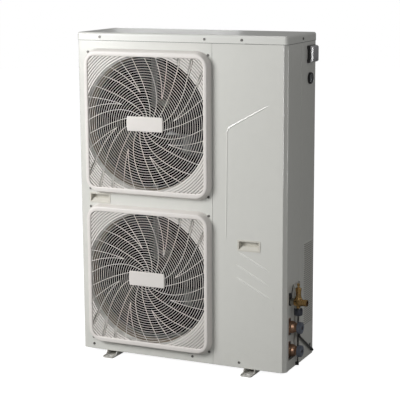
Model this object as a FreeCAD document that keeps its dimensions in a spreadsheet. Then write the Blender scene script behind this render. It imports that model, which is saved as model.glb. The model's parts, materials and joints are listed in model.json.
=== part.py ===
import FreeCAD, Part
import math
import os
import Sketcher

# Air-cooled chiller, two fans one above the other, on two foot rails.
# Millimetres. Origin on the floor, at the centre of the four foot slots.
# +X to the right seen from the front, -Y is the front (air outlet), +Z up.

V = FreeCAD.Vector

doc = FreeCAD.newDocument("AirCooledChiller")
sheet = doc.addObject("Spreadsheet::Sheet", "Params")

TABLE = [
    ("case_left", -440.0, "left face of the casing"),
    ("case_right", 460.0, "right face of the casing"),
    ("case_front", -160.0, "front face of the lid"),
    ("case_rear", 160.0, "rear face of the lid"),
    ("case_floor", 20.0, "underside of the base pan, the foot height"),
    ("case_top", 1327.0, "top of the lid"),
    ("lip_tall", 31.0, "height of the lid lip"),
    ("sheet_thk", 1.2, "sheet metal thickness"),
    ("lid_round", 12.0, "corner radius of the lid"),
    ("base_round", 22.0, "corner radius of the base pan"),
    ("fold_round", 10.5, "outer radius of the folded panel corners"),
    ("inset_gap", 1.5, "panels sit this far inside the lid outline"),
    ("seam_pos", 151.0, "seam between fan panel and service panel"),
    ("seam_gap", 1.2, "open seam"),
    ("corner_cut", 14.0, "folded bevel on the front right corner"),
    ("fan_across", -129.0, "fan centre line"),
    ("fan_upper", 973.0, "upper fan height"),
    ("fan_lower", 346.0, "lower fan height"),
    ("orifice_rad", 266.0, "inner radius of the air ring"),
    ("orifice_deep", 64.0, "depth of the air ring"),
    ("orifice_wall", 2.5, "wall of the air ring"),
    ("fan_rad", 256.0, "fan tip radius"),
    ("hub_rad", 60.0, "fan hub radius"),
    ("shaft_rad", 6.0, "fan shaft radius"),
    ("run_gap", 0.05, "radial running clearance"),
    ("grille_wide", 554.0, "grille outline at the panel"),
    ("grille_tall", 582.0, "grille outline at the panel"),
    ("grille_proud", 27.0, "grille stands this far off the panel"),
    ("grille_slope", 10.0, "draft run of the grille side"),
    ("grille_rim", 13.0, "width of the grille rim face"),
    ("ring_first", 62.0, "innermost ring radius"),
    ("ring_pitch", 9.75, "ring spacing"),
    ("ring_bar", 3.0, "ring bar width"),
    ("ring_deep", 4.0, "ring bar depth"),
    ("plate_wide", 157.0, "blank centre plate"),
    ("plate_tall", 58.0, "blank centre plate"),
    ("foot_across", 614.0, "foot slot spacing, left to right"),
    ("foot_along", 348.0, "foot slot spacing, front to back"),
    ("foot_rail_wide", 48.0, "foot rail width"),
    ("foot_rail_long", 400.0, "foot rail length"),
    ("foot_thk", 3.0, "foot rail sheet"),
    ("slot_rad", 6.0, "half the foot slot width"),
    ("slot_long", 20.0, "foot slot end to end"),
    ("base_flange", 40.0, "base pan side height"),
    ("base_thk", 1.5, "base pan sheet"),
    ("drain_rad", 13.0, "base drain hole radius"),
    ("screw_hole", 2.3, "clearance hole radius"),
    ("screw_rad", 2.0, "screw shank radius"),
    ("head_rad", 5.0, "screw head radius"),
    ("head_tall", 2.6, "screw head height"),
    ("cut_tall", 340.0, "height of the connection cut-out"),
    ("cut_from", -125.0, "front edge of the connection cut-out"),
    ("side_seam", -3.0, "seam on the right side"),
    ("valve_plane", 435.0, "inner face of the recessed connection plate"),
    ("plate_rear", -3.6, "rear edge of the connection tray"),
    ("fitting_line", -60.0, "front-back place of the connections"),
    ("inlet_level", 88.0, "water inlet height"),
    ("outlet_level", 183.0, "water outlet height"),
    ("drain_level", 286.0, "drain valve height"),
    ("thread_rad", 15.15, "female thread radius, one inch pipe thread"),
    ("thread_long", 22.0, "thread length"),
    ("comp_across", 330.0, "compressor axis"),
    ("comp_along", 72.0, "compressor axis"),
    ("comp_rad", 70.0, "compressor shell radius"),
    ("comp_tall", 410.0, "compressor shell height"),
    ("pump_across", 380.0, "pump port axis"),
    ("pump_level", 580.0, "pump motor axis height"),
    ("gauge_along", 85.0, "gauge centre, front to back"),
    ("gauge_level", 1152.0, "gauge centre height"),
    ("gauge_rad", 22.5, "gauge bezel radius"),
    ("louvre_from", 41.0, "louvre field, front edge"),
    ("louvre_wide", 91.0, "louvre length"),
    ("louvre_low", 166.8, "lowest louvre"),
    ("louvre_pitch", 8.4, "louvre spacing"),
    ("louvre_count", 40.0, "number of louvres"),
    ("louvre_gap", 3.0, "louvre slot height"),
    ("coil_deep", 29.0, "coil depth"),
    ("coil_low", 46.0, "coil underside"),
    ("coil_high", 1284.0, "coil top"),
    ("coil_bend", 80.0, "coil bend outer radius"),
    ("guard_wire", 3.0, "guard wire width"),
]


class Qty:
    """A driving size: its text for an expression, and its number."""

    def __init__(self, text, val):
        self.text = text
        self.val = val

    @staticmethod
    def of(other):
        return other if isinstance(other, Qty) else Qty("%.6g" % other if other >= 0 else "(%.6g)" % other, float(other))

    def __add__(self, o):
        o = Qty.of(o)
        return Qty("(%s + %s)" % (self.text, o.text), self.val + o.val)

    def __radd__(self, o):
        return Qty.of(o) + self

    def __sub__(self, o):
        o = Qty.of(o)
        return Qty("(%s - %s)" % (self.text, o.text), self.val - o.val)

    def __rsub__(self, o):
        return Qty.of(o) - self

    def __mul__(self, o):
        o = Qty.of(o)
        return Qty("(%s * %s)" % (self.text, o.text), self.val * o.val)

    def __rmul__(self, o):
        return Qty.of(o) * self

    def __truediv__(self, o):
        o = Qty.of(o)
        return Qty("(%s / %s)" % (self.text, o.text), self.val / o.val)

    def __neg__(self):
        return Qty("(0 - %s)" % self.text, -self.val)


class Sizes:
    pass


D = Sizes()      # sizes with their expression text
N = Sizes()      # the same sizes as plain numbers
for row, (alias, value, note) in enumerate(TABLE, 1):
    sheet.set("A%d" % row, alias)
    sheet.set("B%d" % row, str(value))
    sheet.set("C%d" % row, note)
    sheet.setAlias("B%d" % row, alias)
    setattr(D, alias, Qty("Params." + alias, float(value)))
doc.recompute()
for alias, value, note in TABLE:
    setattr(N, alias, float(sheet.get(alias)))


def num(q):
    return q.val if isinstance(q, Qty) else float(q)


def put(obj, prop, q):
    if isinstance(q, Qty):
        obj.setExpression(prop, q.text)
    else:
        setattr(obj, prop, q)


def place(obj, x, y, z, rot=None):
    obj.Placement = FreeCAD.Placement(V(num(x), num(y), num(z)), rot or FreeCAD.Rotation())
    for axis, q in (("x", x), ("y", y), ("z", z)):
        if isinstance(q, Qty):
            obj.setExpression("Placement.Base." + axis, q.text)
    return obj


ROT = {
    "X": FreeCAD.Rotation(V(0, 1, 0), 90),
    "Y": FreeCAD.Rotation(V(1, 0, 0), -90),
    "Z": FreeCAD.Rotation(),
}


def box(x0, y0, z0, x1, y1, z1):
    o = doc.addObject("Part::Box", "Box")
    put(o, "Length", x1 - x0)
    put(o, "Width", y1 - y0)
    put(o, "Height", z1 - z0)
    return place(o, x0, y0, z0)


def cyl(axis, x, y, z, rad, length):
    o = doc.addObject("Part::Cylinder", "Cylinder")
    put(o, "Radius", rad)
    put(o, "Height", length)
    return place(o, x, y, z, ROT[axis])


def prism(axis, x, y, z, sides, rad, length):
    o = doc.addObject("Part::Prism", "Prism")
    o.Polygon = sides
    put(o, "Circumradius", rad)
    put(o, "Height", length)
    return place(o, x, y, z, ROT[axis])


def fuse(*parts):
    o = doc.addObject("Part::MultiFuse", "Fuse")
    o.Shapes = list(parts)
    o.Refine = True
    return o


def group(*parts):
    o = doc.addObject("Part::Compound", "Group")
    o.Links = list(parts)
    return o


def cut(base, *tools):
    o = doc.addObject("Part::Cut", "Cut")
    o.Base = base
    o.Tool = tools[0] if len(tools) == 1 else group(*tools)
    return o


def feature(shape):
    """A shape that has no primitive or sketch of its own."""
    o = doc.addObject("Part::Feature", "Feature")
    o.Shape = shape
    o.Placement = FreeCAD.Placement()
    return o


NODES = []


def node(name, obj):
    obj.Label = name
    NODES.append((name, obj))
    return obj


# ---------------------------------------------------------------- sketches
def origin_plane(body, role):
    for item in body.Origin.OriginFeatures:
        if item.Role == role:
            return item
    raise RuntimeError("no plane " + role)


def new_body(name):
    return doc.addObject("PartDesign::Body", "Body_" + name)


def new_sketch(body, role, ox, oy, oz):
    sk = body.newObject("Sketcher::SketchObject", "Sketch")
    sk.AttachmentSupport = [(origin_plane(body, role), "")]
    sk.MapMode = "FlatFace"
    sk.AttachmentOffset = FreeCAD.Placement(V(num(ox), num(oy), num(oz)), FreeCAD.Rotation())
    for axis, q in (("x", ox), ("y", oy), ("z", oz)):
        if isinstance(q, Qty):
            sk.setExpression("AttachmentOffset.Base." + axis, q.text)
    return sk


def pin_point(sk, geo, pos, x, y):
    for kind, other, q in (("DistanceX", -2, x), ("DistanceY", -1, y)):
        if abs(num(q)) < 1e-9 and not isinstance(q, Qty):
            sk.addConstraint(Sketcher.Constraint("PointOnObject", geo, pos, other))
        else:
            i = sk.addConstraint(Sketcher.Constraint(kind, -1, 1, geo, pos, num(q)))
            if isinstance(q, Qty):
                sk.setExpression("Constraints[%d]" % i, q.text)


def draw_poly(sk, points):
    first = sk.GeometryCount
    n = len(points)
    for i in range(n):
        a, b = points[i], points[(i + 1) % n]
        sk.addGeometry(Part.LineSegment(V(num(a[0]), num(a[1]), 0), V(num(b[0]), num(b[1]), 0)), False)
    for i in range(n):
        sk.addConstraint(Sketcher.Constraint("Coincident", first + i, 2, first + (i + 1) % n, 1))
    for i in range(n):
        pin_point(sk, first + i, 1, points[i][0], points[i][1])


def draw_rect(sk, x0, y0, x1, y1):
    draw_poly(sk, [(x0, y0), (x1, y0), (x1, y1), (x0, y1)])


def draw_round_rect(sk, x0, y0, x1, y1, rad):
    r = num(rad)
    a0, b0, a1, b1 = num(x0), num(y0), num(x1), num(y1)
    first = sk.GeometryCount
    corners = [((a1 - r, b0 + r), -90, (x1 - rad, y0 + rad)), ((a1 - r, b1 - r), 0, (x1 - rad, y1 - rad)),
               ((a0 + r, b1 - r), 90, (x0 + rad, y1 - rad)), ((a0 + r, b0 + r), 180, (x0 + rad, y0 + rad))]
    ends = [((a0 + r, b0), (a1 - r, b0)), ((a1, b0 + r), (a1, b1 - r)), ((a1 - r, b1), (a0 + r, b1)), ((a0, b1 - r), (a0, b0 + r))]
    for i in range(4):
        (c, start, _), (p, q) = corners[i], ends[i]
        sk.addGeometry(Part.LineSegment(V(p[0], p[1], 0), V(q[0], q[1], 0)), False)
        sk.addGeometry(Part.ArcOfCircle(Part.Circle(V(c[0], c[1], 0), V(0, 0, 1), r), math.radians(start), math.radians(start + 90)), False)
    for i in range(8):
        sk.addConstraint(Sketcher.Constraint("Tangent", first + i, 2, first + (i + 1) % 8, 1))
    for i in range(4):
        pin_point(sk, first + 2 * i + 1, 3, *corners[i][2])
        if i:
            sk.addConstraint(Sketcher.Constraint("Equal", first + 1, first + 2 * i + 1))
    i = sk.addConstraint(Sketcher.Constraint("Radius", first + 1, r))
    if isinstance(rad, Qty):
        sk.setExpression("Constraints[%d]" % i, rad.text)


def draw_circle(sk, x, y, rad):
    g = sk.addGeometry(Part.Circle(V(num(x), num(y), 0), V(0, 0, 1), num(rad)), False)
    i = sk.addConstraint(Sketcher.Constraint("Radius", g, num(rad)))
    if isinstance(rad, Qty):
        sk.setExpression("Constraints[%d]" % i, rad.text)
    pin_point(sk, g, 3, x, y)


def draw_slot(sk, x, y, half, rad):
    """A slot along the sketch's first axis: half is the centre-to-end distance."""
    first = sk.GeometryCount
    hx = num(half) - num(rad)
    r, cx, cy = num(rad), num(x), num(y)
    sk.addGeometry(Part.LineSegment(V(cx - hx, cy - r, 0), V(cx + hx, cy - r, 0)), False)
    sk.addGeometry(Part.ArcOfCircle(Part.Circle(V(cx + hx, cy, 0), V(0, 0, 1), r), -math.pi / 2, math.pi / 2), False)
    sk.addGeometry(Part.LineSegment(V(cx + hx, cy + r, 0), V(cx - hx, cy + r, 0)), False)
    sk.addGeometry(Part.ArcOfCircle(Part.Circle(V(cx - hx, cy, 0), V(0, 0, 1), r), math.pi / 2, 1.5 * math.pi), False)
    a, b, c, d = first, first + 1, first + 2, first + 3
    for one, two in ((a, b), (b, c), (c, d), (d, a)):
        sk.addConstraint(Sketcher.Constraint("Tangent", one, 2, two, 1))
    pin_point(sk, b, 3, x + (half - rad), y)
    pin_point(sk, d, 3, x - (half - rad), y)
    i = sk.addConstraint(Sketcher.Constraint("Radius", b, r))
    if isinstance(rad, Qty):
        sk.setExpression("Constraints[%d]" % i, rad.text)


def pad(body, sk, length, reverse=False, taper=0.0):
    f = body.newObject("PartDesign::Pad", "Pad")
    f.Profile = sk
    put(f, "Length", length)
    f.Reversed = reverse
    if taper:
        f.TaperAngle = taper
    doc.recompute()
    return f


def pocket(body, sk, length, reverse=False):
    before = body.Shape.Volume
    f = body.newObject("PartDesign::Pocket", "Pocket")
    f.Profile = sk
    put(f, "Length", length)
    f.Reversed = reverse
    doc.recompute()
    if body.Shape.Volume > before - 1e-3:
        raise RuntimeError("a pocket of %s removes nothing" % body.Label)
    return f


def round_edges(body, last, direction, rad, where=None, kind="Fillet"):
    names = []
    for i, e in enumerate(last.Shape.Edges, 1):
        if e.Curve.TypeId != "Part::GeomLine":
            continue
        t = e.tangentAt(e.FirstParameter)
        if abs(abs(t.dot(direction)) - 1) > 1e-6:
            continue
        if where and not where(e.CenterOfMass):
            continue
        names.append("Edge%d" % i)
    if not names:
        raise RuntimeError("no edge to round in " + body.Label)
    f = body.newObject("PartDesign::" + kind, kind)
    f.Base = (last, names)
    put(f, "Radius" if kind == "Fillet" else "Size", rad)
    doc.recompute()
    return f


def near(c, x, y):
    return abs(c.x - num(x)) < 0.05 and abs(c.y - num(y)) < 0.05


def turned(name, axis, cx, cy, cz, profile):
    """A turned piece: profile points are (distance along the axis, radius)."""
    b = new_body(name)
    if axis == "Y":
        sk = new_sketch(b, "XY_Plane", cx, 0, cz)
        draw_poly(sk, [(r, a) for a, r in profile])
        ref = "V_Axis"
    elif axis == "X":
        sk = new_sketch(b, "XY_Plane", 0, cy, cz)
        draw_poly(sk, profile)
        ref = "H_Axis"
    else:
        sk = new_sketch(b, "XZ_Plane", cx, 0, -cy)
        draw_poly(sk, [(r, a) for a, r in profile])
        ref = "V_Axis"
    f = b.newObject("PartDesign::Revolution", "Revolution")
    f.Profile = sk
    f.ReferenceAxis = (sk, [ref])
    f.Angle = 360.0
    doc.recompute()
    return b


# ---------------------------------------------------------------- tubes
def rounded_path(points, bend):
    pts = [V(*p) for p in points]
    edges, start = [], pts[0]
    for i in range(1, len(pts) - 1):
        a, b, c = pts[i - 1], pts[i], pts[i + 1]
        u, w = (a - b).normalize(), (c - b).normalize()
        half = math.acos(max(-1.0, min(1.0, u.dot(w)))) / 2
        run = bend / math.tan(half)
        limit = 0.49 * min((a - b).Length, (c - b).Length)
        if run > limit:
            run = limit
        p, q = b + u * run, b + w * run
        rad = run * math.tan(half)
        mid_dir = (u + w).normalize()
        centre = b + mid_dir * (rad / math.sin(half))
        mid = centre - mid_dir * rad
        if (p - start).Length > 1e-6:
            edges.append(Part.LineSegment(start, p).toShape())
        edges.append(Part.Arc(p, mid, q).toShape())
        start = q
    edges.append(Part.LineSegment(start, pts[-1]).toShape())
    return Part.Wire(edges)


def tube(points, rad, bend, bore=0.0):
    path = rounded_path(points, bend)
    d = (V(*points[1]) - V(*points[0])).normalize()
    ring = Part.Wire([Part.makeCircle(rad, V(*points[0]), d)])
    solid = path.makePipeShell([ring], True, True)
    want = math.pi * rad * rad * path.Length
    if abs(solid.Volume - want) > 0.02 * want:
        raise RuntimeError("tube volume %.0f, expected %.0f" % (solid.Volume, want))
    if bore:
        inner = Part.Wire([Part.makeCircle(bore, V(*points[0]), d)])
        solid = solid.cut(path.makePipeShell([inner], True, True))
    return solid


# ================================================================ casing
PANEL_L = D.case_left + D.inset_gap          # outer faces of the panels
PANEL_R = D.case_right - D.inset_gap
PANEL_F = D.case_front + D.inset_gap
PANEL_B = D.case_rear - D.inset_gap
PANEL_LOW = D.case_floor + 1.5
PANEL_HIGH = D.case_top - 9
LIP_LOW = D.case_top - D.lip_tall

# lid: a deep-lipped tray with rounded corners
b = new_body("top_cover")
sk = new_sketch(b, "XY_Plane", 0, 0, LIP_LOW)
draw_round_rect(sk, D.case_left, D.case_front, D.case_right, D.case_rear, D.lid_round)
f = pad(b, sk, D.lip_tall)
top_edges = []
for i, e in enumerate(f.Shape.Edges, 1):
    if e.BoundBox.ZMin > N.case_top - 0.01:
        top_edges.append("Edge%d" % i)
ff = b.newObject("PartDesign::Fillet", "Fillet")
ff.Base = (f, top_edges)
ff.Radius = 9.0
doc.recompute()
for inset, under in ((D.sheet_thk, 8.6), (D.sheet_thk + 2.2, 4.4), (D.sheet_thk + 7.5, 2.2)):
    sk = new_sketch(b, "XY_Plane", 0, 0, LIP_LOW)
    draw_round_rect(sk, D.case_left + inset, D.case_front + inset, D.case_right - inset, D.case_rear - inset, D.lid_round - inset)
    f = pocket(b, sk, D.lip_tall - under, reverse=True)
LID_SCREW_X = [-336.4, 120.0, 274.5]
LID_SCREW_Z = D.case_top - 17.5
for x in LID_SCREW_X:
    sk = new_sketch(b, "XZ_Plane", 0, 0, -(D.case_front - 1))
    draw_circle(sk, x, LID_SCREW_Z, D.screw_hole)
    pocket(b, sk, 4.0)
for x in (-336.4, 274.5):
    sk = new_sketch(b, "XZ_Plane", 0, 0, -(D.case_rear + 1))
    draw_circle(sk, x, LID_SCREW_Z, D.screw_hole)
    pocket(b, sk, 4.0, reverse=True)
sk = new_sketch(b, "YZ_Plane", 0, 0, D.case_right + 1)
draw_circle(sk, 6.0, LID_SCREW_Z, D.screw_hole)
pocket(b, sk, 4.0)
node("top_cover", b)

# seal strip in the joint between the lid's lip and the panels
b = new_body("lid_seal")
sk = new_sketch(b, "XY_Plane", 0, 0, LIP_LOW - 1.4)
draw_round_rect(sk, D.case_left + 0.4, D.case_front + 0.4, D.case_right - 0.4, D.case_rear - 0.4, D.lid_round - 0.4)
f = pad(b, sk, 1.36)
sk = new_sketch(b, "XY_Plane", 0, 0, LIP_LOW - 2)
draw_round_rect(sk, PANEL_L - 0.04, PANEL_F - 0.04, PANEL_R + 0.04, PANEL_B + 0.04, 10.2)
f = pocket(b, sk, 4.0, reverse=True)
node("lid_seal", b)

# base pan: a shallow tray with a drain hole and stiffening height all round
BASE_L = PANEL_L + D.sheet_thk + 0.3
BASE_R = D.case_right - 4.5
BASE_F = PANEL_F + D.sheet_thk + 0.3
BASE_B = PANEL_B - D.sheet_thk - 0.6
b = new_body("base_pan")
sk = new_sketch(b, "XY_Plane", 0, 0, D.case_floor)
draw_round_rect(sk, BASE_L, BASE_F, BASE_R, BASE_B, D.base_round)
f = pad(b, sk, D.base_flange)
sk = new_sketch(b, "XY_Plane", 0, 0, D.case_floor + D.base_thk)
draw_round_rect(sk, BASE_L + D.base_thk, BASE_F + D.base_thk, BASE_R - D.base_thk, BASE_B - D.base_thk, D.base_round - D.base_thk)
f = pocket(b, sk, D.base_flange, reverse=True)
DRAIN_X, DRAIN_Y = -129.0, 60.0
sk = new_sketch(b, "XY_Plane", 0, 0, D.case_floor - 1)
draw_circle(sk, DRAIN_X, DRAIN_Y, D.drain_rad)
pocket(b, sk, D.base_thk + 2, reverse=True)
sk = new_sketch(b, "XZ_Plane", 0, 0, -(BASE_F - 1))
for x in (-390.0, 60.0, 263.0):
    draw_circle(sk, x, 42.0, D.screw_hole)
pocket(b, sk, 4.0)
sk = new_sketch(b, "YZ_Plane", 0, 0, BASE_R - 4)
draw_circle(sk, -36.0, 30.0, 3.0)
pocket(b, sk, 8.0, reverse=True)
node("base_pan", b)

# foot rails: flat bars with turned-up sides, slotted at both ends
def foot_rail(name, side):
    b = new_body(name)
    x = D.foot_across / 2 * side
    half = D.foot_rail_wide / 2
    sk = new_sketch(b, "XY_Plane", 0, 0, 0)
    draw_rect(sk, x - half, -D.foot_rail_long / 2, x + half, D.foot_rail_long / 2)
    f = pad(b, sk, D.case_floor - 0.2)
    # channel between the turned-up sides
    sk = new_sketch(b, "XY_Plane", 0, 0, D.foot_thk)
    draw_rect(sk, x - half + 2.5, -D.foot_rail_long / 2 - 1, x + half - 2.5, D.foot_rail_long / 2 + 1)
    f = pocket(b, sk, D.case_floor, reverse=True)
    # the sides run down to the flat tips outside the casing
    for s in (-1, 1):
        sk = new_sketch(b, "YZ_Plane", 0, 0, x - half - 1)
        y_in, y_out = D.case_rear * s - 2 * s, D.foot_rail_long / 2 * s + s
        pts = [(y_in, D.case_floor + 1), (y_in, D.case_floor - 0.2), (y_in + 9 * s, D.foot_thk + 4), (y_out, D.foot_thk + 2.5), (y_out, D.case_floor + 1)]
        draw_poly(sk, pts)
        f = pocket(b, sk, D.foot_rail_wide + 2, reverse=True)
    f = round_edges(b, f, V(0, 0, 1), 10.0, where=lambda c: abs(abs(c.y) - N.foot_rail_long / 2) < 0.1 and abs(abs(c.x - num(x)) - num(half)) < 0.1)
    for s in (-1, 1):
        sk = new_sketch(b, "XY_Plane", 0, 0, -1)
        draw_slot(sk, x, D.foot_along / 2 * s, D.slot_long / 2, D.slot_rad)
        f = pocket(b, sk, D.foot_thk + 2, reverse=True)
    node(name, b)
    return b


foot_rail("left_foot_rail", -1)
foot_rail("right_foot_rail", 1)

# fan panel: front sheet with a left return and two round openings
b = new_body("fan_panel")
sk = new_sketch(b, "XY_Plane", 0, 0, PANEL_LOW)
T = D.sheet_thk
draw_poly(sk, [
    (PANEL_L, PANEL_F), (D.seam_pos - D.seam_gap / 2, PANEL_F), (D.seam_pos - D.seam_gap / 2, PANEL_F + T),
    (PANEL_L + T, PANEL_F + T), (PANEL_L + T, -118.0), (PANEL_L, -118.0)])
f = pad(b, sk, PANEL_HIGH - PANEL_LOW)
f = round_edges(b, f, V(0, 0, 1), D.fold_round, where=lambda c: near(c, PANEL_L, PANEL_F))
f = round_edges(b, f, V(0, 0, 1), D.fold_round - T, where=lambda c: near(c, PANEL_L + T, PANEL_F + T))
for level in (D.fan_upper, D.fan_lower):
    sk = new_sketch(b, "XZ_Plane", 0, 0, -(PANEL_F - 1))
    draw_circle(sk, D.fan_across, level, D.orifice_rad + D.orifice_wall + 0.6)
    f = pocket(b, sk, T + 3)
GRIP_L = (-396.0, 638.6, -302.0, 680.6)
sk = new_sketch(b, "XZ_Plane", 0, 0, -(PANEL_F - 1))
draw_rect(sk, GRIP_L[0] + 4, GRIP_L[1] + 4, GRIP_L[2] - 4, GRIP_L[3] - 4)
f = pocket(b, sk, T + 3)
GRILLE_SCREWS = [(-392.0, z) for z in (1249.0, 697.0, 622.0, 70.0)] + [(134.0, z) for z in (1249.0, 697.0, 622.0, 70.0)]
sk = new_sketch(b, "XZ_Plane", 0, 0, -(PANEL_F - 1))
for x, z in GRILLE_SCREWS + [(-390.0, 42.0), (60.0, 42.0), (-336.4, LID_SCREW_Z), (120.0, LID_SCREW_Z)]:
    draw_circle(sk, x, z, D.screw_hole)
f = pocket(b, sk, T + 3)
node("fan_panel", b)

# service panel: front and side in one fold, with a bevelled corner
b = new_body("service_panel")
sk = new_sketch(b, "XY_Plane", 0, 0, PANEL_LOW)
C = D.corner_cut
SVC_TOP = LIP_LOW - 1.8
draw_poly(sk, [
    (D.seam_pos + D.seam_gap / 2, PANEL_F), (PANEL_R - C, PANEL_F), (PANEL_R, PANEL_F + C), (PANEL_R, D.side_seam - D.seam_gap / 2),
    (PANEL_R - T, D.side_seam - D.seam_gap / 2), (PANEL_R - T, PANEL_F + C + T * 0.4142), (PANEL_R - C - T * 0.4142, PANEL_F + T),
    (D.seam_pos + D.seam_gap / 2, PANEL_F + T)])
f = pad(b, sk, SVC_TOP - PANEL_LOW)
f = round_edges(b, f, V(0, 0, 1), 5.0, where=lambda c: near(c, PANEL_R - C, PANEL_F) or near(c, PANEL_R, PANEL_F + C))
f = round_edges(b, f, V(0, 0, 1), 3.8, where=lambda c: near(c, PANEL_R - T, PANEL_F + C + T * 0.4142) or near(c, PANEL_R - C - T * 0.4142, PANEL_F + T))
sk = new_sketch(b, "YZ_Plane", 0, 0, PANEL_R - 4)
draw_rect(sk, D.cut_from, PANEL_LOW - 5, D.side_seam + 5, D.case_floor + D.cut_tall)
f = pocket(b, sk, 10.0, reverse=True)
GRIP_R = (257.0, 494.0, 353.0, 538.5)
sk = new_sketch(b, "XZ_Plane", 0, 0, -(PANEL_F - 1))
draw_rect(sk, GRIP_R[0] + 4, GRIP_R[1] + 4, GRIP_R[2] - 4, GRIP_R[3] - 4)
f = pocket(b, sk, T + 3)
sk = new_sketch(b, "XZ_Plane", 0, 0, -(PANEL_F - 1))
draw_circle(sk, 263.0, 42.0, D.screw_hole)
f = pocket(b, sk, T + 3)
node("service_panel", b)

# rail behind the top of the service panel, which carries the lid there
node("upper_front_rail", cut(fuse(
    box(D.seam_pos + 2, PANEL_F, LIP_LOW + 1.0, PANEL_R - C - 2, PANEL_F + 1.5, PANEL_HIGH),
    box(D.seam_pos + 2, PANEL_F + 1.5, LIP_LOW - 12, PANEL_R - C - 2, PANEL_F + 3.0, PANEL_HIGH),
    box(D.seam_pos + 2, PANEL_F + 3.0, LIP_LOW - 12, PANEL_R - C - 2, PANEL_F + 26, LIP_LOW - 10.5)),
    cyl("Y", 274.5, PANEL_F - 2, LID_SCREW_Z, D.screw_hole, 8.0)))

# rear side panel: louvred right side, folded round to the back
b = new_body("rear_side_panel")
RT = 1.5
sk = new_sketch(b, "XY_Plane", 0, 0, PANEL_LOW)
REAR_EDGE = 158.0
draw_poly(sk, [
    (PANEL_R, D.side_seam + D.seam_gap / 2), (PANEL_R, PANEL_B), (REAR_EDGE, PANEL_B), (REAR_EDGE, PANEL_B - RT),
    (PANEL_R - RT, PANEL_B - RT), (PANEL_R - RT, 10.0), (PANEL_R - RT - 1.2, 10.0), (PANEL_R - RT - 1.2, -14.0),
    (PANEL_R - RT, -14.0), (PANEL_R - RT, D.side_seam + D.seam_gap / 2)])
f = pad(b, sk, PANEL_HIGH - PANEL_LOW)
f = round_edges(b, f, V(0, 0, 1), D.fold_round, where=lambda c: near(c, PANEL_R, PANEL_B))
f = round_edges(b, f, V(0, 0, 1), D.fold_round - RT, where=lambda c: near(c, PANEL_R - RT, PANEL_B - RT))
sk = new_sketch(b, "YZ_Plane", 0, 0, PANEL_R - 6)
draw_rect(sk, D.louvre_from, D.louvre_low, D.louvre_from + D.louvre_wide, D.louvre_low + D.louvre_gap)
first_slot = pocket(b, sk, 12.0, reverse=True)
pat = b.newObject("PartDesign::LinearPattern", "LinearPattern")
pat.Originals = [first_slot]
pat.Direction = (sk, ["V_Axis"])
pat.setExpression("Length", "Params.louvre_pitch * (Params.louvre_count - 1)")
pat.setExpression("Occurrences", "Params.louvre_count")
b.Tip = pat
doc.recompute()
# the joggled strip stays only above the connection tray; holes for gauge and isolator
sk = new_sketch(b, "YZ_Plane", 0, 0, PANEL_R - 12)
draw_rect(sk, -20.0, PANEL_LOW - 5, D.side_seam + D.seam_gap / 2 - 0.3, D.case_floor + D.cut_tall + 4)
f = pocket(b, sk, 20.0, reverse=True)
sk = new_sketch(b, "YZ_Plane", 0, 0, PANEL_R - 6)
draw_circle(sk, D.gauge_along, D.gauge_level, 17.0)
draw_circle(sk, 89.0, 1232.0, 8.0)
draw_circle(sk, 6.0, LID_SCREW_Z, D.screw_hole)
draw_circle(sk, 13.0, 36.0, 2.6)
f = pocket(b, sk, 12.0, reverse=True)
for x in (274.5,):
    sk = new_sketch(b, "XZ_Plane", 0, 0, -(PANEL_B + 1))
    draw_circle(sk, x, LID_SCREW_Z, D.screw_hole)
    f = pocket(b, sk, 5.0, reverse=True)
node("rear_side_panel", b)

# rear left corner post
b = new_body("rear_left_post")
sk = new_sketch(b, "XY_Plane", 0, 0, PANEL_LOW)
draw_poly(sk, [
    (PANEL_L, 112.0), (PANEL_L, PANEL_B), (-386.0, PANEL_B), (-386.0, PANEL_B - T), (PANEL_L + T, PANEL_B - T), (PANEL_L + T, 112.0)])
f = pad(b, sk, PANEL_HIGH - PANEL_LOW)
f = round_edges(b, f, V(0, 0, 1), D.fold_round, where=lambda c: near(c, PANEL_L, PANEL_B))
f = round_edges(b, f, V(0, 0, 1), D.fold_round - T, where=lambda c: near(c, PANEL_L + T, PANEL_B - T))
node("rear_left_post", b)


# wire guards over the coil: a frame of crossed bars in one plane
def guard(plane, lo, hi, z_lo, z_hi, at, thick, nx, nz, bar):
    outer = [(lo, z_lo), (hi, z_lo), (hi, z_hi), (lo, z_hi)]

    def wire(pts):
        if plane == "Y":
            p = [V(u, at, w) for u, w in pts]
        else:
            p = [V(at, u, w) for u, w in pts]
        return Part.makePolygon(p + [p[0]])

    faces = [wire(outer)]
    border = 8.0
    cell_u = (hi - lo - 2 * border + bar) / nx
    cell_w = (z_hi - z_lo - 2 * border + bar) / nz
    for i in range(nx):
        for k in range(nz):
            u0 = lo + border + i * cell_u
            w0 = z_lo + border + k * cell_w
            faces.append(wire([(u0, w0), (u0, w0 + cell_w - bar), (u0 + cell_u - bar, w0 + cell_w - bar), (u0 + cell_u - bar, w0)]))
    face = Part.Face(faces)
    face.validate()
    return face.extrude(V(0, thick, 0) if plane == "Y" else V(thick, 0, 0))


rear_grid = feature(guard("Y", -385.5, 157.0, 61.0, 1283.0, 154.0, 2.6, 9, 25, N.guard_wire))
rear_frame = fuse(rear_grid, box(-385.5, 154.0, 1283.0, 157.0, PANEL_B, PANEL_HIGH), box(-385.5, 134.0, PANEL_HIGH - T, 157.0, 154.0, PANEL_HIGH))
rear_frame.Refine = False
node("rear_coil_guard", cut(rear_frame, cyl("Y", -336.4, 150.0, LID_SCREW_Z, D.screw_hole, 12.0)))
node("left_coil_guard", feature(guard("X", -117.0, 111.0, 61.0, 1316.0, -438.0, 2.6, 4, 25, N.guard_wire)))

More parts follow.
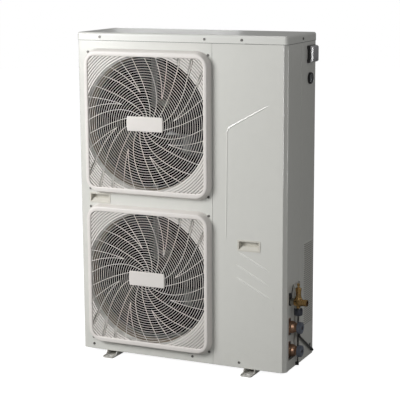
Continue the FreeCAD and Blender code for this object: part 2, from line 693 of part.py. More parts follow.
# recessed connection tray on the right side
TRAY_TOP = D.case_floor + D.cut_tall + 1.2
b = new_body("valve_plate")
sk = new_sketch(b, "YZ_Plane", 0, 0, D.valve_plane)
draw_rect(sk, D.cut_from - 1, 22.0, D.plate_rear, TRAY_TOP)
f = pad(b, sk, 18.5)
sk = new_sketch(b, "YZ_Plane", 0, 0, D.valve_plane + D.sheet_thk)
draw_rect(sk, D.cut_from + 0.2, 23.2, D.plate_rear - 1.2, TRAY_TOP - 1.2)
f = pocket(b, sk, 30.0, reverse=True)
sk = new_sketch(b, "YZ_Plane", 0, 0, D.valve_plane - 2)
draw_circle(sk, D.fitting_line, D.inlet_level, 16.5)
draw_circle(sk, D.fitting_line, D.outlet_level, 16.5)
draw_circle(sk, D.fitting_line, D.drain_level, 9.5)
draw_circle(sk, -105.0, 310.0, 10.5)
draw_circle(sk, -35.0, 270.0, 3.1)
draw_circle(sk, -24.0, 166.0, 6.2)
for level in (D.inlet_level, D.outlet_level):
    for s in (-28.5, 28.5):
        draw_circle(sk, D.fitting_line, level + s, D.screw_hole)
f = pocket(b, sk, 6.0, reverse=True)
sk = new_sketch(b, "XY_Plane", 0, 0, TRAY_TOP - 3)
draw_circle(sk, 443.0, -31.0, 2.6)
f = pocket(b, sk, 6.0, reverse=True)
node("valve_plate", b)

# partition between the fan side and the machine side
node("partition", fuse(
    box(146.0, D.case_front + 4.5, D.case_floor + D.base_thk + 0.3, 147.2, 106.0, 1290.0),
    box(147.2, 94.0, 64.0, 159.0, 95.2, 1290.0)))

# ================================================================ air side
def orifice(name, level):
    """Square mounting plate with a drawn ring behind it."""
    back = PANEL_F + T
    ring = turned(name, "Y", D.fan_across, 0, level, [
        (back, D.orifice_rad + 7), (back, D.orifice_rad + 3.6), (back + 3, D.orifice_rad + 1), (back + 9, D.orifice_rad),
        (back + D.orifice_deep - 12, D.orifice_rad), (back + D.orifice_deep, D.orifice_rad + 5), (back + D.orifice_deep, D.orifice_rad + 7.5),
        (back + D.orifice_deep - 14, D.orifice_rad + 2.5), (back + 12, D.orifice_rad + 2.5), (back + 4, D.orifice_rad + 7)])
    plate = cut(
        box(D.fan_across - 274.5, back, level - 284.0, D.fan_across + 273.5, back + 2.0, level + 286.5),
        cyl("Y", D.fan_across, back - 1, level, D.orifice_rad + 5, 5.0),
        *[cyl("Y", x, back - 1, z, D.screw_hole, 5.0) for x, z in GRILLE_SCREWS if abs(z - level.val) < 280])
    node(name, fuse(ring, plate))


orifice("upper_orifice", D.fan_upper)
orifice("lower_orifice", D.fan_lower)


def round_rect_wire(cx, cz, y, w, h, r):
    x0, x1, z0, z1 = cx - w / 2, cx + w / 2, cz - h / 2, cz + h / 2
    q = r * math.sqrt(0.5)
    edges = [
        Part.LineSegment(V(x0 + r, y, z0), V(x1 - r, y, z0)).toShape(),
        Part.Arc(V(x1 - r, y, z0), V(x1 - r + q, y, z0 + r - q), V(x1, y, z0 + r)).toShape(),
        Part.LineSegment(V(x1, y, z0 + r), V(x1, y, z1 - r)).toShape(),
        Part.Arc(V(x1, y, z1 - r), V(x1 - r + q, y, z1 - r + q), V(x1 - r, y, z1)).toShape(),
        Part.LineSegment(V(x1 - r, y, z1), V(x0 + r, y, z1)).toShape(),
        Part.Arc(V(x0 + r, y, z1), V(x0 + r - q, y, z1 - r + q), V(x0, y, z1 - r)).toShape(),
        Part.LineSegment(V(x0, y, z1 - r), V(x0, y, z0 + r)).toShape(),
        Part.Arc(V(x0, y, z0 + r), V(x0 + r - q, y, z0 + r - q), V(x0 + r, y, z0)).toShape(),
    ]
    return Part.Wire(edges)


def grille_shape(level):
    """Moulded guard: sloping frame, rings, spokes and a blank centre plate in one piece."""
    cx, cz = N.fan_across, level
    y0 = N.case_front + N.inset_gap - 0.3
    y1 = y0 - N.grille_proud
    w, h, s = N.grille_wide, N.grille_tall, N.grille_slope
    outer = Part.makeLoft([round_rect_wire(cx, cz, y0, w, h, 62.0), round_rect_wire(cx, cz, y1, w - 2 * s, h - 2 * s, 54.0)], True, True)
    inner = Part.makeLoft([round_rect_wire(cx, cz, y0 + 0.01, w - 6, h - 6, 59.0), round_rect_wire(cx, cz, y1 + 3, w - 2 * s - 6, h - 2 * s - 6, 51.0)], True, True)
    iw, ih, ir = w - 2 * s - 2 * N.grille_rim, h - 2 * s - 2 * N.grille_rim - 10.0, 32.0
    hole = Part.Face(round_rect_wire(cx, cz, y1 - 1, iw, ih, ir)).extrude(V(0, 12, 0))
    frame = outer.cut(inner).cut(hole)
    # lattice: one plate with a window between each pair of rings and spokes
    yl = y1 + 3.0
    wires = [round_rect_wire(cx, cz, yl, iw + 6, ih + 6, ir + 3)]
    half_w, half_h = iw / 2 - 1.5, ih / 2 - 1.5

    def inside(x, z):
        if abs(x) > half_w or abs(z) > half_h:
            return False
        dx, dz = abs(x) - (half_w - ir), abs(z) - (half_h - ir)
        return not (dx > 0 and dz > 0 and dx * dx + dz * dz > ir * ir)

    count = 32
    ring = 0
    while True:
        r0 = N.ring_first + ring * N.ring_pitch + N.ring_bar / 2
        r1 = r0 + N.ring_pitch - N.ring_bar
        if r1 > 390:
            break
        ring += 1
        step = 2 if r0 < 125 else 1
        n = count // step
        for k in range(n):
            a0 = 2 * math.pi * k / n
            a1 = 2 * math.pi * (k + 1) / n
            h0, h1 = 1.4 / r0, 1.4 / r1
            pts = []
            for r, da in ((r0, h0), (r1, h1)):
                for t in (a0 + da, (a0 + a1) / 2, a1 - da):
                    pts.append((r * math.cos(t), r * math.sin(t)))
            if not all(inside(*p) for p in pts):
                continue
            if any(abs(p[0]) < N.plate_wide / 2 + 2 and abs(p[1]) < N.plate_tall / 2 + 2 for p in pts):
                continue
            P = [V(cx + p[0], yl, cz + p[1]) for p in pts]
            wires.append(Part.Wire([
                Part.Arc(P[0], P[1], P[2]).toShape(), Part.LineSegment(P[2], P[5]).toShape(),
                Part.Arc(P[5], P[4], P[3]).toShape(), Part.LineSegment(P[3], P[0]).toShape()]))
    face = Part.Face(wires)
    face.validate()
    lattice = face.extrude(V(0, N.ring_deep, 0))
    pw, ph = N.plate_wide, N.plate_tall
    plate = Part.Face(round_rect_wire(cx, cz, yl - 2.5, pw, ph, 4.0)).extrude(V(0, 4.5, 0))
    whole = frame.fuse([lattice, plate])
    return whole.Solids[0] if len(whole.Solids) == 1 else whole


one_grille = grille_shape(0.0)
for name, level in (("upper_grille", D.fan_upper), ("lower_grille", D.fan_lower)):
    g = node(name, feature(one_grille))
    place(g, 0.0, 0.0, level)

# one tall bracket carries both fan motors
BR_Y = 44.0


def bracket():
    parts = []
    for s in (-1, 1):
        x = D.fan_across + 70 * s
        parts.append(box(x - 12, BR_Y, 22.5, x + 12, BR_Y + 2.0, 1300.0))
        edge = x + 10 if s > 0 else x - 12
        parts.append(box(edge, BR_Y + 2.0, 22.5, edge + 2.0, BR_Y + 20.0, 1300.0))
    parts.append(box(D.fan_across - 82, BR_Y - 10, 22.5, D.fan_across + 82, BR_Y + 24, 24.5))
    parts.append(box(D.fan_across - 82, BR_Y - 10, 1298.0, D.fan_across + 82, BR_Y + 60, 1300.0))
    for level in (D.fan_upper, D.fan_lower):
        parts.append(box(D.fan_across - 72, BR_Y, level - 70, D.fan_across + 72, BR_Y + 2.0, level + 70))
    solid = fuse(*parts)
    holes = []
    for level in (D.fan_upper, D.fan_lower):
        holes.append(cyl("Y", D.fan_across, BR_Y - 5, level, 27.0, 12.0))
        for sx in (-1, 1):
            for sz in (-1, 1):
                holes.append(cyl("Y", D.fan_across + 50 * sx, BR_Y - 5, level + 50 * sz, 2.6, 12.0))
    return cut(solid, *holes)


node("motor_bracket", bracket())


def fan_motor(name, level):
    body = turned(name, "Y", D.fan_across, 0, level, [
        (-46.0, D.shaft_rad + D.run_gap), (-46.0, 14.0), (-38.0, 18.0), (-34.0, 46.0), (-26.0, 56.0), (34.0, 56.0), (40.0, 50.0),
        (BR_Y - 0.2, 50.0), (BR_Y - 0.2, 25.0), (62.0, 25.0), (66.0, 20.0), (66.0, D.shaft_rad + D.run_gap)])
    lugs = []
    for sx in (-1, 1):
        for sz in (-1, 1):
            lugs.append(cyl("Y", D.fan_across + 50 * sx, 34.0, level + 50 * sz, 8.0, BR_Y - 0.2 - 34.0))
            bx0 = D.fan_across + (50 * sx if sx < 0 else 30)
            bz0 = level + (50 * sz if sz < 0 else 30)
            lugs.append(box(bx0, 36.0, bz0, bx0 + 20, 42.0, bz0 + 20))
    holes = [cyl("Y", D.fan_across + 50 * sx, 30.0, level + 50 * sz, 2.2, 20.0) for sx in (-1, 1) for sz in (-1, 1)]
    node(name, cut(fuse(body, *lugs), *holes))


fan_motor("upper_fan_motor", D.fan_upper)
fan_motor("lower_fan_motor", D.fan_lower)

SHAFT_FRONT = -122.0


def rotor(prefix, level):
    node(prefix + "_fan_shaft", turned(prefix + "_fan_shaft", "Y", D.fan_across, 0, level, [
        (SHAFT_FRONT, 0), (SHAFT_FRONT, 5.0), (SHAFT_FRONT + 1, D.shaft_rad), (64.0, D.shaft_rad), (64.0, 0)]))
    nut = cut(prism("Y", D.fan_across, SHAFT_FRONT + 3, level, 6, 11.0, 8.0), cyl("Y", D.fan_across, SHAFT_FRONT - 5, level, D.shaft_rad + 0.01, 30.0))
    node(prefix + "_fan_nut", nut)
    hub = turned(prefix + "_fan", "Y", D.fan_across, 0, level, [
        (-111.0, D.shaft_rad + 0.02), (-111.0, 16.0), (-108.0, 18.0), (-114.0, 40.0), (-112.0, D.hub_rad - 4), (-108.0, D.hub_rad), (-48.0, D.hub_rad),
        (-48.0, D.hub_rad - 3), (-106.0, D.hub_rad - 3), (-108.0, 40.0), (-103.0, 17.0), (-56.0, 14.0), (-56.0, D.shaft_rad + 0.02)])
    blades = []
    for k in range(3):
        blades.append(blade(math.radians(120.0 * k + 20), level.val))
    h = hub.Shape.copy()
    solid = h.fuse(blades)
    node(prefix + "_fan", feature(solid.removeSplitter()))


def blade(turn, level):
    """A broad swept blade: a grid of points on a twisted surface, given a thickness."""
    r_in, r_out = N.hub_rad - 2.0, N.fan_rad
    rows, cols = 7, 7
    front, back = [], []
    for i in range(rows):
        t = i / (rows - 1)
        r = r_in + (r_out - r_in) * t
        sweep = math.radians(-4 + 30 * t ** 1.5)
        span = math.radians(78 + 12 * t - 30 * max(0.0, t - 0.8))
        f_line, b_line = [], []
        for j in range(cols):
            s = j / (cols - 1)
            a = turn + sweep + span * (s - 0.5)
            rise = (66.0 - 8 * t) * (s - 0.5) * (0.80 + 0.2 * t)
            camber = 8.0 * math.sin(math.pi * s)
            y = -80.0 + rise + camber
            thick = 1.6 + 1.6 * math.sin(math.pi * (0.12 + 0.76 * s)) * (1 - 0.35 * t)
            f_line.append(V(N.fan_across + r * math.cos(a), y - thick, level + r * math.sin(a)))
            b_line.append(V(N.fan_across + r * math.cos(a), y + thick, level + r * math.sin(a)))
        front.append(f_line)
        back.append(b_line)

    def surf(grid):
        bs = Part.BSplineSurface()
        bs.interpolate(grid)
        return bs

    sf, sb = surf(front), surf(back)
    ff, fb = sf.toShape(), sb.toShape()
    sides = []
    for get in (lambda s: s.uIso(s.bounds()[0]), lambda s: s.uIso(s.bounds()[1]), lambda s: s.vIso(s.bounds()[2]), lambda s: s.vIso(s.bounds()[3])):
        sides.append(Part.makeRuledSurface(get(sf).toShape(), get(sb).toShape()))
    sewn = Part.makeShell([ff, fb] + sides)
    sewn.sewShape()
    solid = Part.Solid(sewn)
    if solid.Volume < 0:
        solid.reverse()
    return solid


rotor("upper", D.fan_upper)
rotor("lower", D.fan_lower)

# condenser coil: finned block bent round the back left corner
b = new_body("condenser_coil")
sk = new_sketch(b, "XY_Plane", 0, 0, D.coil_low)
CO_L, CO_B = -433.5, 150.0
CD = D.coil_deep
draw_poly(sk, [
    (CO_L, -112.0), (CO_L + CD, -112.0), (CO_L + CD, CO_B - CD), (142.0, CO_B - CD), (142.0, CO_B + 0.0), (CO_L, CO_B + 0.0)])
f = pad(b, sk, D.coil_high - D.coil_low)
f = round_edges(b, f, V(0, 0, 1), D.coil_bend, where=lambda c: abs(c.x - CO_L) < 0.1 and abs(c.y - CO_B) < 0.1)
f = round_edges(b, f, V(0, 0, 1), D.coil_bend - D.coil_deep, where=lambda c: abs(c.x - CO_L - N.coil_deep) < 0.1 and abs(c.y - CO_B + N.coil_deep) < 0.1)
node("condenser_coil", fuse(b, box(142.0, CO_B - CD - 3.0, D.coil_low - 6, 143.5, CO_B + 2.0, D.coil_high + 4)))
bends = []
for k in range(22):
    z = 74.0 + 54.0 * k
    ring = Part.makeTorus(12.5, 4.8, V(143.5, 142.0, z), V(0, 1, 0), 0, 360)
    keep = Part.makeBox(40, 60, 60, V(143.6, 112.0, z - 30))
    bends.append(ring.common(keep))
node("coil_return_bends", feature(Part.makeCompound(bends)))

# ================================================================ machine side
cxp, cyp = D.comp_across, D.comp_along
CZ = 72.0
shell = turned("compressor", "Z", cxp, cyp, 0, [
    (CZ, 0), (CZ, D.comp_rad * 0.55), (CZ + 8, D.comp_rad * 0.86), (CZ + 24, D.comp_rad), (CZ + D.comp_tall - 34, D.comp_rad),
    (CZ + D.comp_tall - 14, D.comp_rad * 0.86), (CZ + D.comp_tall - 4, D.comp_rad * 0.5), (CZ + D.comp_tall, 0)])
feet = []
FEET = []
for k in range(3):
    a = math.radians(90 + 120 * k)
    FEET.append((330.0 + 76.0 * math.cos(a), 72.0 + 65.0 * math.sin(a)))
for fx, fy in FEET:
    feet.append(cyl("Z", fx, fy, 62.0, 17.0, 4.0))
feet.append(cyl("Z", cxp, cyp, 62.0, 58.0, 4.0))
feet.append(cyl("Z", cxp, cyp, 66.0, D.comp_rad * 0.55, 6.5))
feet.append(box(cxp - 22, cyp - 82, 300.0, cxp + 22, cyp - 60.0, 360.0))
node("compressor", cut(fuse(shell, *feet), *[cyl("Z", fx, fy, 60.0, 7.0, 10.0) for fx, fy in FEET]))
mounts = [cut(fuse(cyl("Z", fx, fy, D.case_floor + D.base_thk, 13.0, 62.0 - 21.5), cyl("Z", fx, fy, 62.0, 6.8, 4.0), cyl("Z", fx, fy, 66.0, 12.0, 6.0)), cyl("Z", fx, fy, 10.0, 4.2, 80.0)) for fx, fy in FEET]
mounts += [fuse(cyl("Z", fx, fy, 21.7, 4.0, 51.0), prism("Z", fx, fy, 72.2, 6, 7.5, 6.0)) for fx, fy in FEET]

node("accumulator", turned("accumulator", "Z", 215.0, 100.0, 0, [
    (150.0, 0), (150.0, 14.0), (158.0, 32.0), (172.0, 42.0), (350.0, 42.0), (362.0, 34.0), (370.0, 14.0), (370.0, 0)]))

# plate heat exchanger: end plates, pack and four port stubs
HX = (160.0, -132.0, 60.0, 280.0, -85.0, 590.0)
plates = [box(HX[0], HX[1], HX[2], HX[3], HX[4], HX[5])]
ports = [cyl("Y", x, HX[4] - 1, z, r, 12.0) for x, z, r in ((260.0, 88.0, 15.0), (260.0, 560.0, 15.0), (190.0, 88.0, 11.0), (190.0, 560.0, 13.0))]
legs = [box(156.0, -134.0, 21.8, 284.0, -85.0, 23.3), box(156.0, -134.0, 23.3, 160.0, -85.0, 120.0), box(280.0, -134.0, 23.3, 284.0, -85.0, 120.0)]
core = fuse(*(plates + ports + legs))
bores = [cyl("Y", x, HX[4] + 2, z, r, 12.0) for x, z, r in ((260.0, 88.0, 11.05), (260.0, 560.0, 11.05), (190.0, 88.0, 5.05), (190.0, 560.0, 9.05))]
node("plate_heat_exchanger", cut(core, *bores))
# circulating pump: inline body, motor can and impeller
PX, PZ = D.pump_across, D.pump_level
volute = turned("pump_housing", "Y", PX, 0, PZ, [
    (-88.0, 0), (-88.0, 46.0), (-82.0, 52.0), (-40.0, 52.0), (-36.0, 48.0), (-36.0, 36.0), (-76.0, 36.0), (-76.0, 0)])
inline = cyl("Z", PX, -60.0, PZ - 70, 17.0, 140.0)
inline_cut = [cyl("Z", PX, -60.0, PZ - 71, 11.05, 22.0), cyl("Z", PX, -60.0, PZ + 49, 11.05, 22.0), cyl("Y", PX, -76.0, PZ, 36.0, 60.0)]
node("pump_housing", cut(fuse(volute, inline), *inline_cut))
node("pump_motor", turned("pump_motor", "Y", PX, 0, PZ, [
    (-36.0, 4.05), (-36.0, 44.0), (-32.0, 44.0), (-30.0, 40.0), (34.0, 40.0), (40.0, 34.0), (40.0, 0), (30.0, 0), (30.0, 4.05)]))
impeller = turned("pump_impeller", "Y", PX, 0, PZ, [
    (-74.0, 0), (-74.0, 12.0), (-68.0, 14.0), (-64.0, 31.0), (-48.0, 31.0), (-46.0, 30.0), (-44.0, 4.0), (28.0, 4.0), (28.0, 0)])
node("pump_impeller", impeller)

# expansion vessel: flat round tank
node("expansion_vessel", turned("expansion_vessel", "Y", 320.0, 0, 960.0, [
    (20.0, 0), (20.0, 60.0), (28.0, 90.0), (48.0, 104.0), (92.0, 104.0), (112.0, 90.0), (120.0, 60.0), (120.0, 0)]))

drier = turned("filter_drier", "Z", 190.0, 10.0, 0, [
    (320.0, 0), (320.0, 7.0), (340.0, 10.0), (350.0, 20.0), (410.0, 20.0), (420.0, 10.0), (430.0, 7.0), (430.0, 0)])
expander = fuse(
    cyl("Z", 190.0, 10.0, 240.0, 9.0, 79.8), cyl("X", 190.0, 10.0, 272.0, 12.0, 26.0), cyl("X", 216.0, 10.0, 272.0, 20.0, 10.0))


def line(points, rad, bend, wall):
    return feature(tube(points, rad, bend, rad - wall))


# refrigerant lines: header with its stubs, discharge, suction, liquid and expansion lines, drier and expansion valve
comp_top = CZ + N.comp_tall
header = Part.makeCylinder(11.0, 630.0, V(205.0, 128.0, 560.0))
for z in (600.0, 790.0, 980.0, 1150.0):
    header = header.fuse(Part.makeCylinder(5.0, 52.0, V(143.8, 128.0, z), V(1, 0, 0)))
header = header.cut(Part.makeCylinder(9.8, 627.6, V(205.0, 128.0, 561.2)))
node("refrigerant_lines", group(
    feature(header.removeSplitter()),
    line([(330.0, 72.0, comp_top + 0.2), (330.0, 72.0, 740.0), (205.0, 72.0, 740.0), (205.0, 116.6, 740.0)], 6.4, 26.0, 1.0),
    line([(190.0, -82.8, 560.0), (190.0, -50.0, 560.0), (190.0, -50.0, 650.0), (215.0, 100.0, 650.0), (215.0, 100.0, 370.2)], 9.0, 24.0, 1.0),
    line([(215.0, 100.0, 149.8), (215.0, 100.0, 112.0), (261.7, 88.6, 112.0)], 7.0, 15.0, 1.0),
    line([(143.8, 128.0, 480.0), (190.0, 128.0, 480.0), (190.0, 10.0, 480.0), (190.0, 10.0, 430.2)], 5.0, 18.0, 0.8),
    line([(190.0, 10.0, 239.8), (190.0, 10.0, 88.0), (190.0, -82.8, 88.0)], 5.0, 30.0, 0.8),
    drier, expander))
node("water_pipes", group(
    line([(434.6, -60.0, 88.0), (260.0, -60.0, 88.0), (260.0, -82.8, 88.0)], 11.0, 18.0, 1.0),
    line([(260.0, -82.8, 560.0), (260.0, -60.0, 560.0), (260.0, -60.0, 720.0), (380.0, -60.0, 720.0), (380.0, -60.0, 630.0)], 11.0, 20.0, 1.0),
    line([(380.0, -60.0, 530.0), (380.0, -60.0, 183.0), (434.6, -60.0, 183.0)], 11.0, 26.0, 1.0),
    line([(320.0, 19.8, 960.0), (320.0, -20.0, 960.0), (320.0, -20.0, 800.0), (320.0, -60.0, 800.0), (320.0, -60.0, 731.2)], 6.0, 16.0, 0.8)))

# electrical box and what is in it
EX0, EY0, EZ0, EX1, EY1, EZ1 = 160.0, -146.0, 840.0, 436.0, -66.0, 1270.0
node("electrical_box", cut(box(EX0, EY0, EZ0, EX1, EY1, EZ1), box(EX0 + 1.2, EY0 - 5, EZ0 + 1.2, EX1 - 1.2, EY1 - 1.2, EZ1 - 1.2), cyl("Z", 300.0, -100.0, EZ0 - 3, 10.0, 8.0)))
standoffs = [prism("Y", x, -79.2, z, 6, 4.0, 12.0) for x in (185.0, 345.0) for z in (1060.0, 1240.0)]
board = box(175.0, -80.8, 1050.0, 355.0, -79.2, 1250.0)
board_parts = [box(x, -80.8 - d, z, x + w, -80.8, z + t) for x, z, w, t, d in (
    (190.0, 1200.0, 40.0, 30.0, 26.0), (245.0, 1196.0, 26.0, 36.0, 32.0), (285.0, 1205.0, 50.0, 20.0, 14.0), (195.0, 1130.0, 60.0, 45.0, 10.0),
    (275.0, 1120.0, 30.0, 30.0, 5.0), (320.0, 1120.0, 22.0, 50.0, 18.0), (190.0, 1070.0, 120.0, 12.0, 12.0))]
node("control_board", fuse(board, *(board_parts + standoffs)))
contactor = fuse(box(190.0, -132.0, 930.0, 245.0, -67.4, 1010.0), box(198.0, -138.0, 945.0, 237.0, -132.0, 995.0))
node("power_terminals", group(contactor, cut(box(325.0, -100.0, 870.0, 425.0, -67.4, 905.0), *[box(331.0 + 15.6 * k, -101.0, 866.0, 341.0 + 15.6 * k, -90.0, 910.0) for k in range(6)])))

# ================================================================ connections on the right side
FX = D.valve_plane + D.sheet_thk            # outer face of the recessed plate
FL = D.fitting_line


RINGS = []


def coupling(prefix, level):
    body = turned(prefix + "_coupling", "X", 0, FL, level, [
        (420.0, 11.05), (420.0, 15.5), (FX, 15.5), (FX, 25.0), (FX + 3.2, 25.0), (FX + 3.2, 20.5), (FX + 5.5, 22.8), (FX + 9, 24.2), (FX + 13, 24.6), (FX + 17, 24.0), (FX + 20, 22.6), (FX + 25, 20.0),
        (FX + 28, 17.5), (FX + 53, 17.5), (FX + 53, D.thread_rad), (FX + 53 - D.thread_long - 6, D.thread_rad), (FX + 22, 11.05)])
    tabs = [box(FX, FL - 9, level - 34, FX + 3.2, FL + 9, level + 34)]
    holes = [cyl("X", FX - 2, FL, level + 28.5 * s, 2.4, 8.0) for s in (-1, 1)]
    node(prefix + "_coupling", cut(fuse(body, *tabs), *holes))
    grip = cut(cyl("X", FX + 38, FL, level, 22.0, 16.2), cyl("X", FX + 36, FL, level, 17.55, 17.1), cyl("X", FX + 36, FL, level, 15.4, 25.0))
    grip_all = [grip]
    for k in range(12):
        a = 30.0 * k
        r = doc.addObject("Part::Box", "Rib")
        r.Length, r.Width, r.Height = 15.0, 2.8, 2.1
        put(r, "Length", 15.0)
        rot = FreeCAD.Rotation(V(1, 0, 0), a)
        off = rot.multVec(V(0, -1.4, 21.4))
        place(r, FX + 38, FL + off.y, level + off.z, rot)
        grip_all.append(r)
    RINGS.append(fuse(*grip_all))


coupling("inlet", D.inlet_level)
coupling("outlet", D.outlet_level)
node("coupling_rings", group(*RINGS))
# drain valve with its knob
DL = D.drain_level
VX = 474.0
LEAD = [(443.0, -59.0, 302.0), (443.0, -31.6, 355.0), (443.0, -31.0, 366.0)]
lead_dir = (V(*LEAD[1]) - V(*LEAD[0])).normalize()
lead_bore = doc.addObject("Part::Cylinder", "LeadBore")
lead_bore.Radius, lead_bore.Height = 1.82, 24.0
lead_bore.Placement = FreeCAD.Placement(V(*LEAD[0]), FreeCAD.Rotation(V(0, 0, 1), lead_dir))
valve_grommet = cut(
    fuse(cyl("X", FX, FL, DL, 17.0, 7.5), box(FX, FL - 12, DL, FX + 7.5, FL + 12, DL + 22), cyl("X", FX, FL, DL + 22, 12.0, 7.5)),
    cyl("X", FX - 2, FL, DL, 9.1, 12.0), lead_bore)
node("valve_lock_nut", cut(prism("X", FX + 7.7, FL, DL, 6, 15.0, 12.8), cyl("X", FX, FL, DL, 9.1, 30.0)))
valve_body = turned("drain_valve", "X", 0, FL, DL, [
    (410.0, 0), (410.0, 9.0), (FX + 21, 9.0), (FX + 21, 11.5), (FX + 24, 14.5), (VX - 4, 16.6), (VX + 8, 16.6), (VX + 15, 14.0), (494.0, 13.2), (498.0, 13.5), (511.0, 13.5),
    (511.0, 10.4), (493.0, 10.0), (493.0, 0)])
neck = turned("valve_neck", "Z", VX, FL, 0, [
    (DL - 12, 0), (DL - 12, 14.0), (DL + 15, 15.0), (DL + 20, 12.4), (DL + 24, 12.4), (DL + 26, 10.8), (DL + 44, 10.8), (DL + 46, 12.0), (DL + 56, 12.0), (DL + 58, 10.6), (DL + 58, 0)])
stem = cut(cyl("Z", VX, FL, DL - 24, 7.0, 14.0), cyl("Z", VX, FL, DL - 26, 3.55, 14.0))
node("drain_valve", fuse(valve_body, neck, stem, turned("valve_tip", "Z", VX, FL, 0, [(DL + 54, 0), (DL + 54, 4.6), (DL + 65, 4.6), (DL + 69, 5.6), (DL + 75, 5.6), (DL + 76.5, 4.2), (DL + 76.5, 0)])))
knob = turned("drain_knob", "Z", VX, FL, 0, [
    (DL - 52, 0), (DL - 52, 14.5), (DL - 50, 16.8), (DL - 34, 17.6), (DL - 26.5, 17.0), (DL - 25, 15.6), (DL - 25, 13.6), (DL - 36, 12.8), (DL - 36, 3.5), (DL - 17.8, 3.5), (DL - 17.8, 0)])
flutes = []
for k in range(12):
    a = math.radians(30.0 * k)
    flutes.append(cyl("Z", VX + 18.8 * math.cos(a), FL + 18.8 * math.sin(a), DL - 56, 2.8, 22.0))
for k in range(3):
    slit = doc.addObject("Part::Box", "Slit")
    slit.Length, slit.Width, slit.Height = 44.0, 7.0, 9.0
    turn = FreeCAD.Rotation(V(0, 0, 1), 60.0 * k + 30.0)
    off = turn.multVec(V(-22.0, -3.5, 0))
    place(slit, VX + off.x, FL + off.y, DL - 32, turn)
    flutes.append(cut(slit, cyl("Z", VX, FL, DL - 40, 9.0, 30.0)))
node("drain_knob", cut(knob, *flutes))

# power inlet gland, hidden by the front edge of the cut-out
power_gland = cut(fuse(cyl("X", 425.0, -105.0, 310.0, 10.2, 12.0), prism("X", FX, -105.0, 310.0, 6, 14.0, 6.0), cyl("X", FX + 6, -105.0, 310.0, 11.5, 9.0)), cyl("X", 420.0, -105.0, 310.0, 6.5, 40.0))

# drain hose: out of the plate behind a coupling, then straight down to a clip at the rear corner
HOSE = [(437.0, -24.0, 166.0), (450.0, -24.0, 166.0), (464.6, -23.0, 136.0), (464.6, 132.0, 38.0)]
node("drain_hose", feature(tube(HOSE, 5.4, 11.5, 4.0)))
hd = (V(*HOSE[3]) - V(*HOSE[2])).normalize()
rot = FreeCAD.Rotation(V(0, 0, 1), hd)
clip = doc.addObject("Part::Cylinder", "Clip")
clip.Radius, clip.Height = 6.5, 7.0
base_pt = V(*HOSE[3]) - hd * 20.0
clip.Placement = FreeCAD.Placement(base_pt, rot)
clip_hole = doc.addObject("Part::Cylinder", "ClipHole")
clip_hole.Radius, clip_hole.Height = 5.42, 40.0
clip_hole.Placement = FreeCAD.Placement(base_pt - hd * 15, rot)
hose_clip = cut(fuse(clip, box(PANEL_R + 0.02, 112.0, 51.0, PANEL_R + 1.8, 121.0, 70.0)), clip_hole, box(PANEL_R - 8, 90.0, 20.0, PANEL_R + 0.02, 156.0, 80.0))
hose_outlet = cut(cyl("X", FX, -24.0, 166.0, 8.4, 2.6), cyl("X", FX - 1, -24.0, 166.0, 5.9, 6.0))

# black cable: out of the plate behind the valve, straight down to the base
CABLE = [(437.0, -35.0, 270.0), (450.0, -35.0, 270.0), (464.0, -36.0, 250.0), (464.0, -36.0, 30.0)]
node("sensor_cable", group(feature(tube(CABLE, 2.4, 9.0)), feature(tube(LEAD, 1.8, 6.0))))
cable_entry = cut(fuse(box(BASE_R, -40.0, 22.0, BASE_R + 12.4, -32.0, 35.0), cyl("X", BASE_R - 3, -36.0, 30.0, 2.9, 4.0)), cyl("Z", 464.0, -36.0, 30.0, 2.42, 10.0))
cable_grommet = cut(cyl("X", FX, -35.0, 270.0, 5.4, 2.6), cyl("X", FX - 1, -35.0, 270.0, 2.6, 6.0))
node("rubber_grommets", group(valve_grommet, power_gland, hose_outlet, hose_clip, cable_entry, cable_grommet, *mounts))

# pressure gauge
GA, GL = D.gauge_along, D.gauge_level
node("gauge_case", turned("gauge_case", "X", 0, GA, GL, [
    (435.0, 0), (435.0, 15.0), (PANEL_R, 15.0), (PANEL_R + 0.02, 15.0), (PANEL_R + 0.02, D.gauge_rad), (PANEL_R + 7.5, D.gauge_rad), (PANEL_R + 9, D.gauge_rad - 1.5),
    (PANEL_R + 9, D.gauge_rad - 3), (PANEL_R + 2.5, D.gauge_rad - 3), (PANEL_R + 2.5, 1.05), (PANEL_R - 4, 1.05), (PANEL_R - 4, 0)]))
needle = fuse(cyl("X", PANEL_R - 3, GA, GL, 1.0, 7.5), cyl("X", PANEL_R + 3.4, GA, GL, 2.6, 1.2), box(PANEL_R + 3.6, GA - 0.6, GL - 5, PANEL_R + 4.4, GA + 0.6, GL + 14))
node("gauge_needle", needle)
node("gauge_glass", cyl("X", PANEL_R + 6.2, GA, GL, D.gauge_rad - 3.1, 1.4))

# isolator: base, rotary knob, hinged cover on a pin
IY0, IY1, IZ0, IZ1 = 54.0, 130.0, 1213.0, 1279.0
IX = PANEL_R + 0.02
iso_base = cut(
    fuse(box(IX, IY0, IZ0, IX + 8.5, IY1, IZ1), box(IX + 8.5, IY0 + 9, IZ0 + 6, IX + 9.0, IY1 - 6, IZ1 - 6), cyl("Z", IX + 10.6, IY0 + 2.6, IZ0 + 2, 2.6, 10.0), cyl("Z", IX + 10.6, IY0 + 2.6, IZ1 - 12, 2.6, 10.0)),
    cyl("X", IX + 5.0, 93.0, 1246.0, 3.05, 10.0),
    box(IX - 1, IY0 - 1, IZ0 + 13, IX + 14, IY0 + 5.6, IZ1 - 13))
node("isolator_base", fuse(iso_base, cyl("Z", IX + 10.6, IY0 + 2.6, IZ0 + 2.2, 1.5, IZ1 - IZ0 - 4.4)))
iso_knob = fuse(cyl("X", IX + 5.5, 93.0, 1246.0, 3.0, 6.0), cyl("X", IX + 9.3, 93.0, 1246.0, 13.0, 4.0), box(IX + 13.0, 90.0, 1235.0, IX + 18.5, 96.0, 1257.0))
node("isolator_knob", iso_knob)
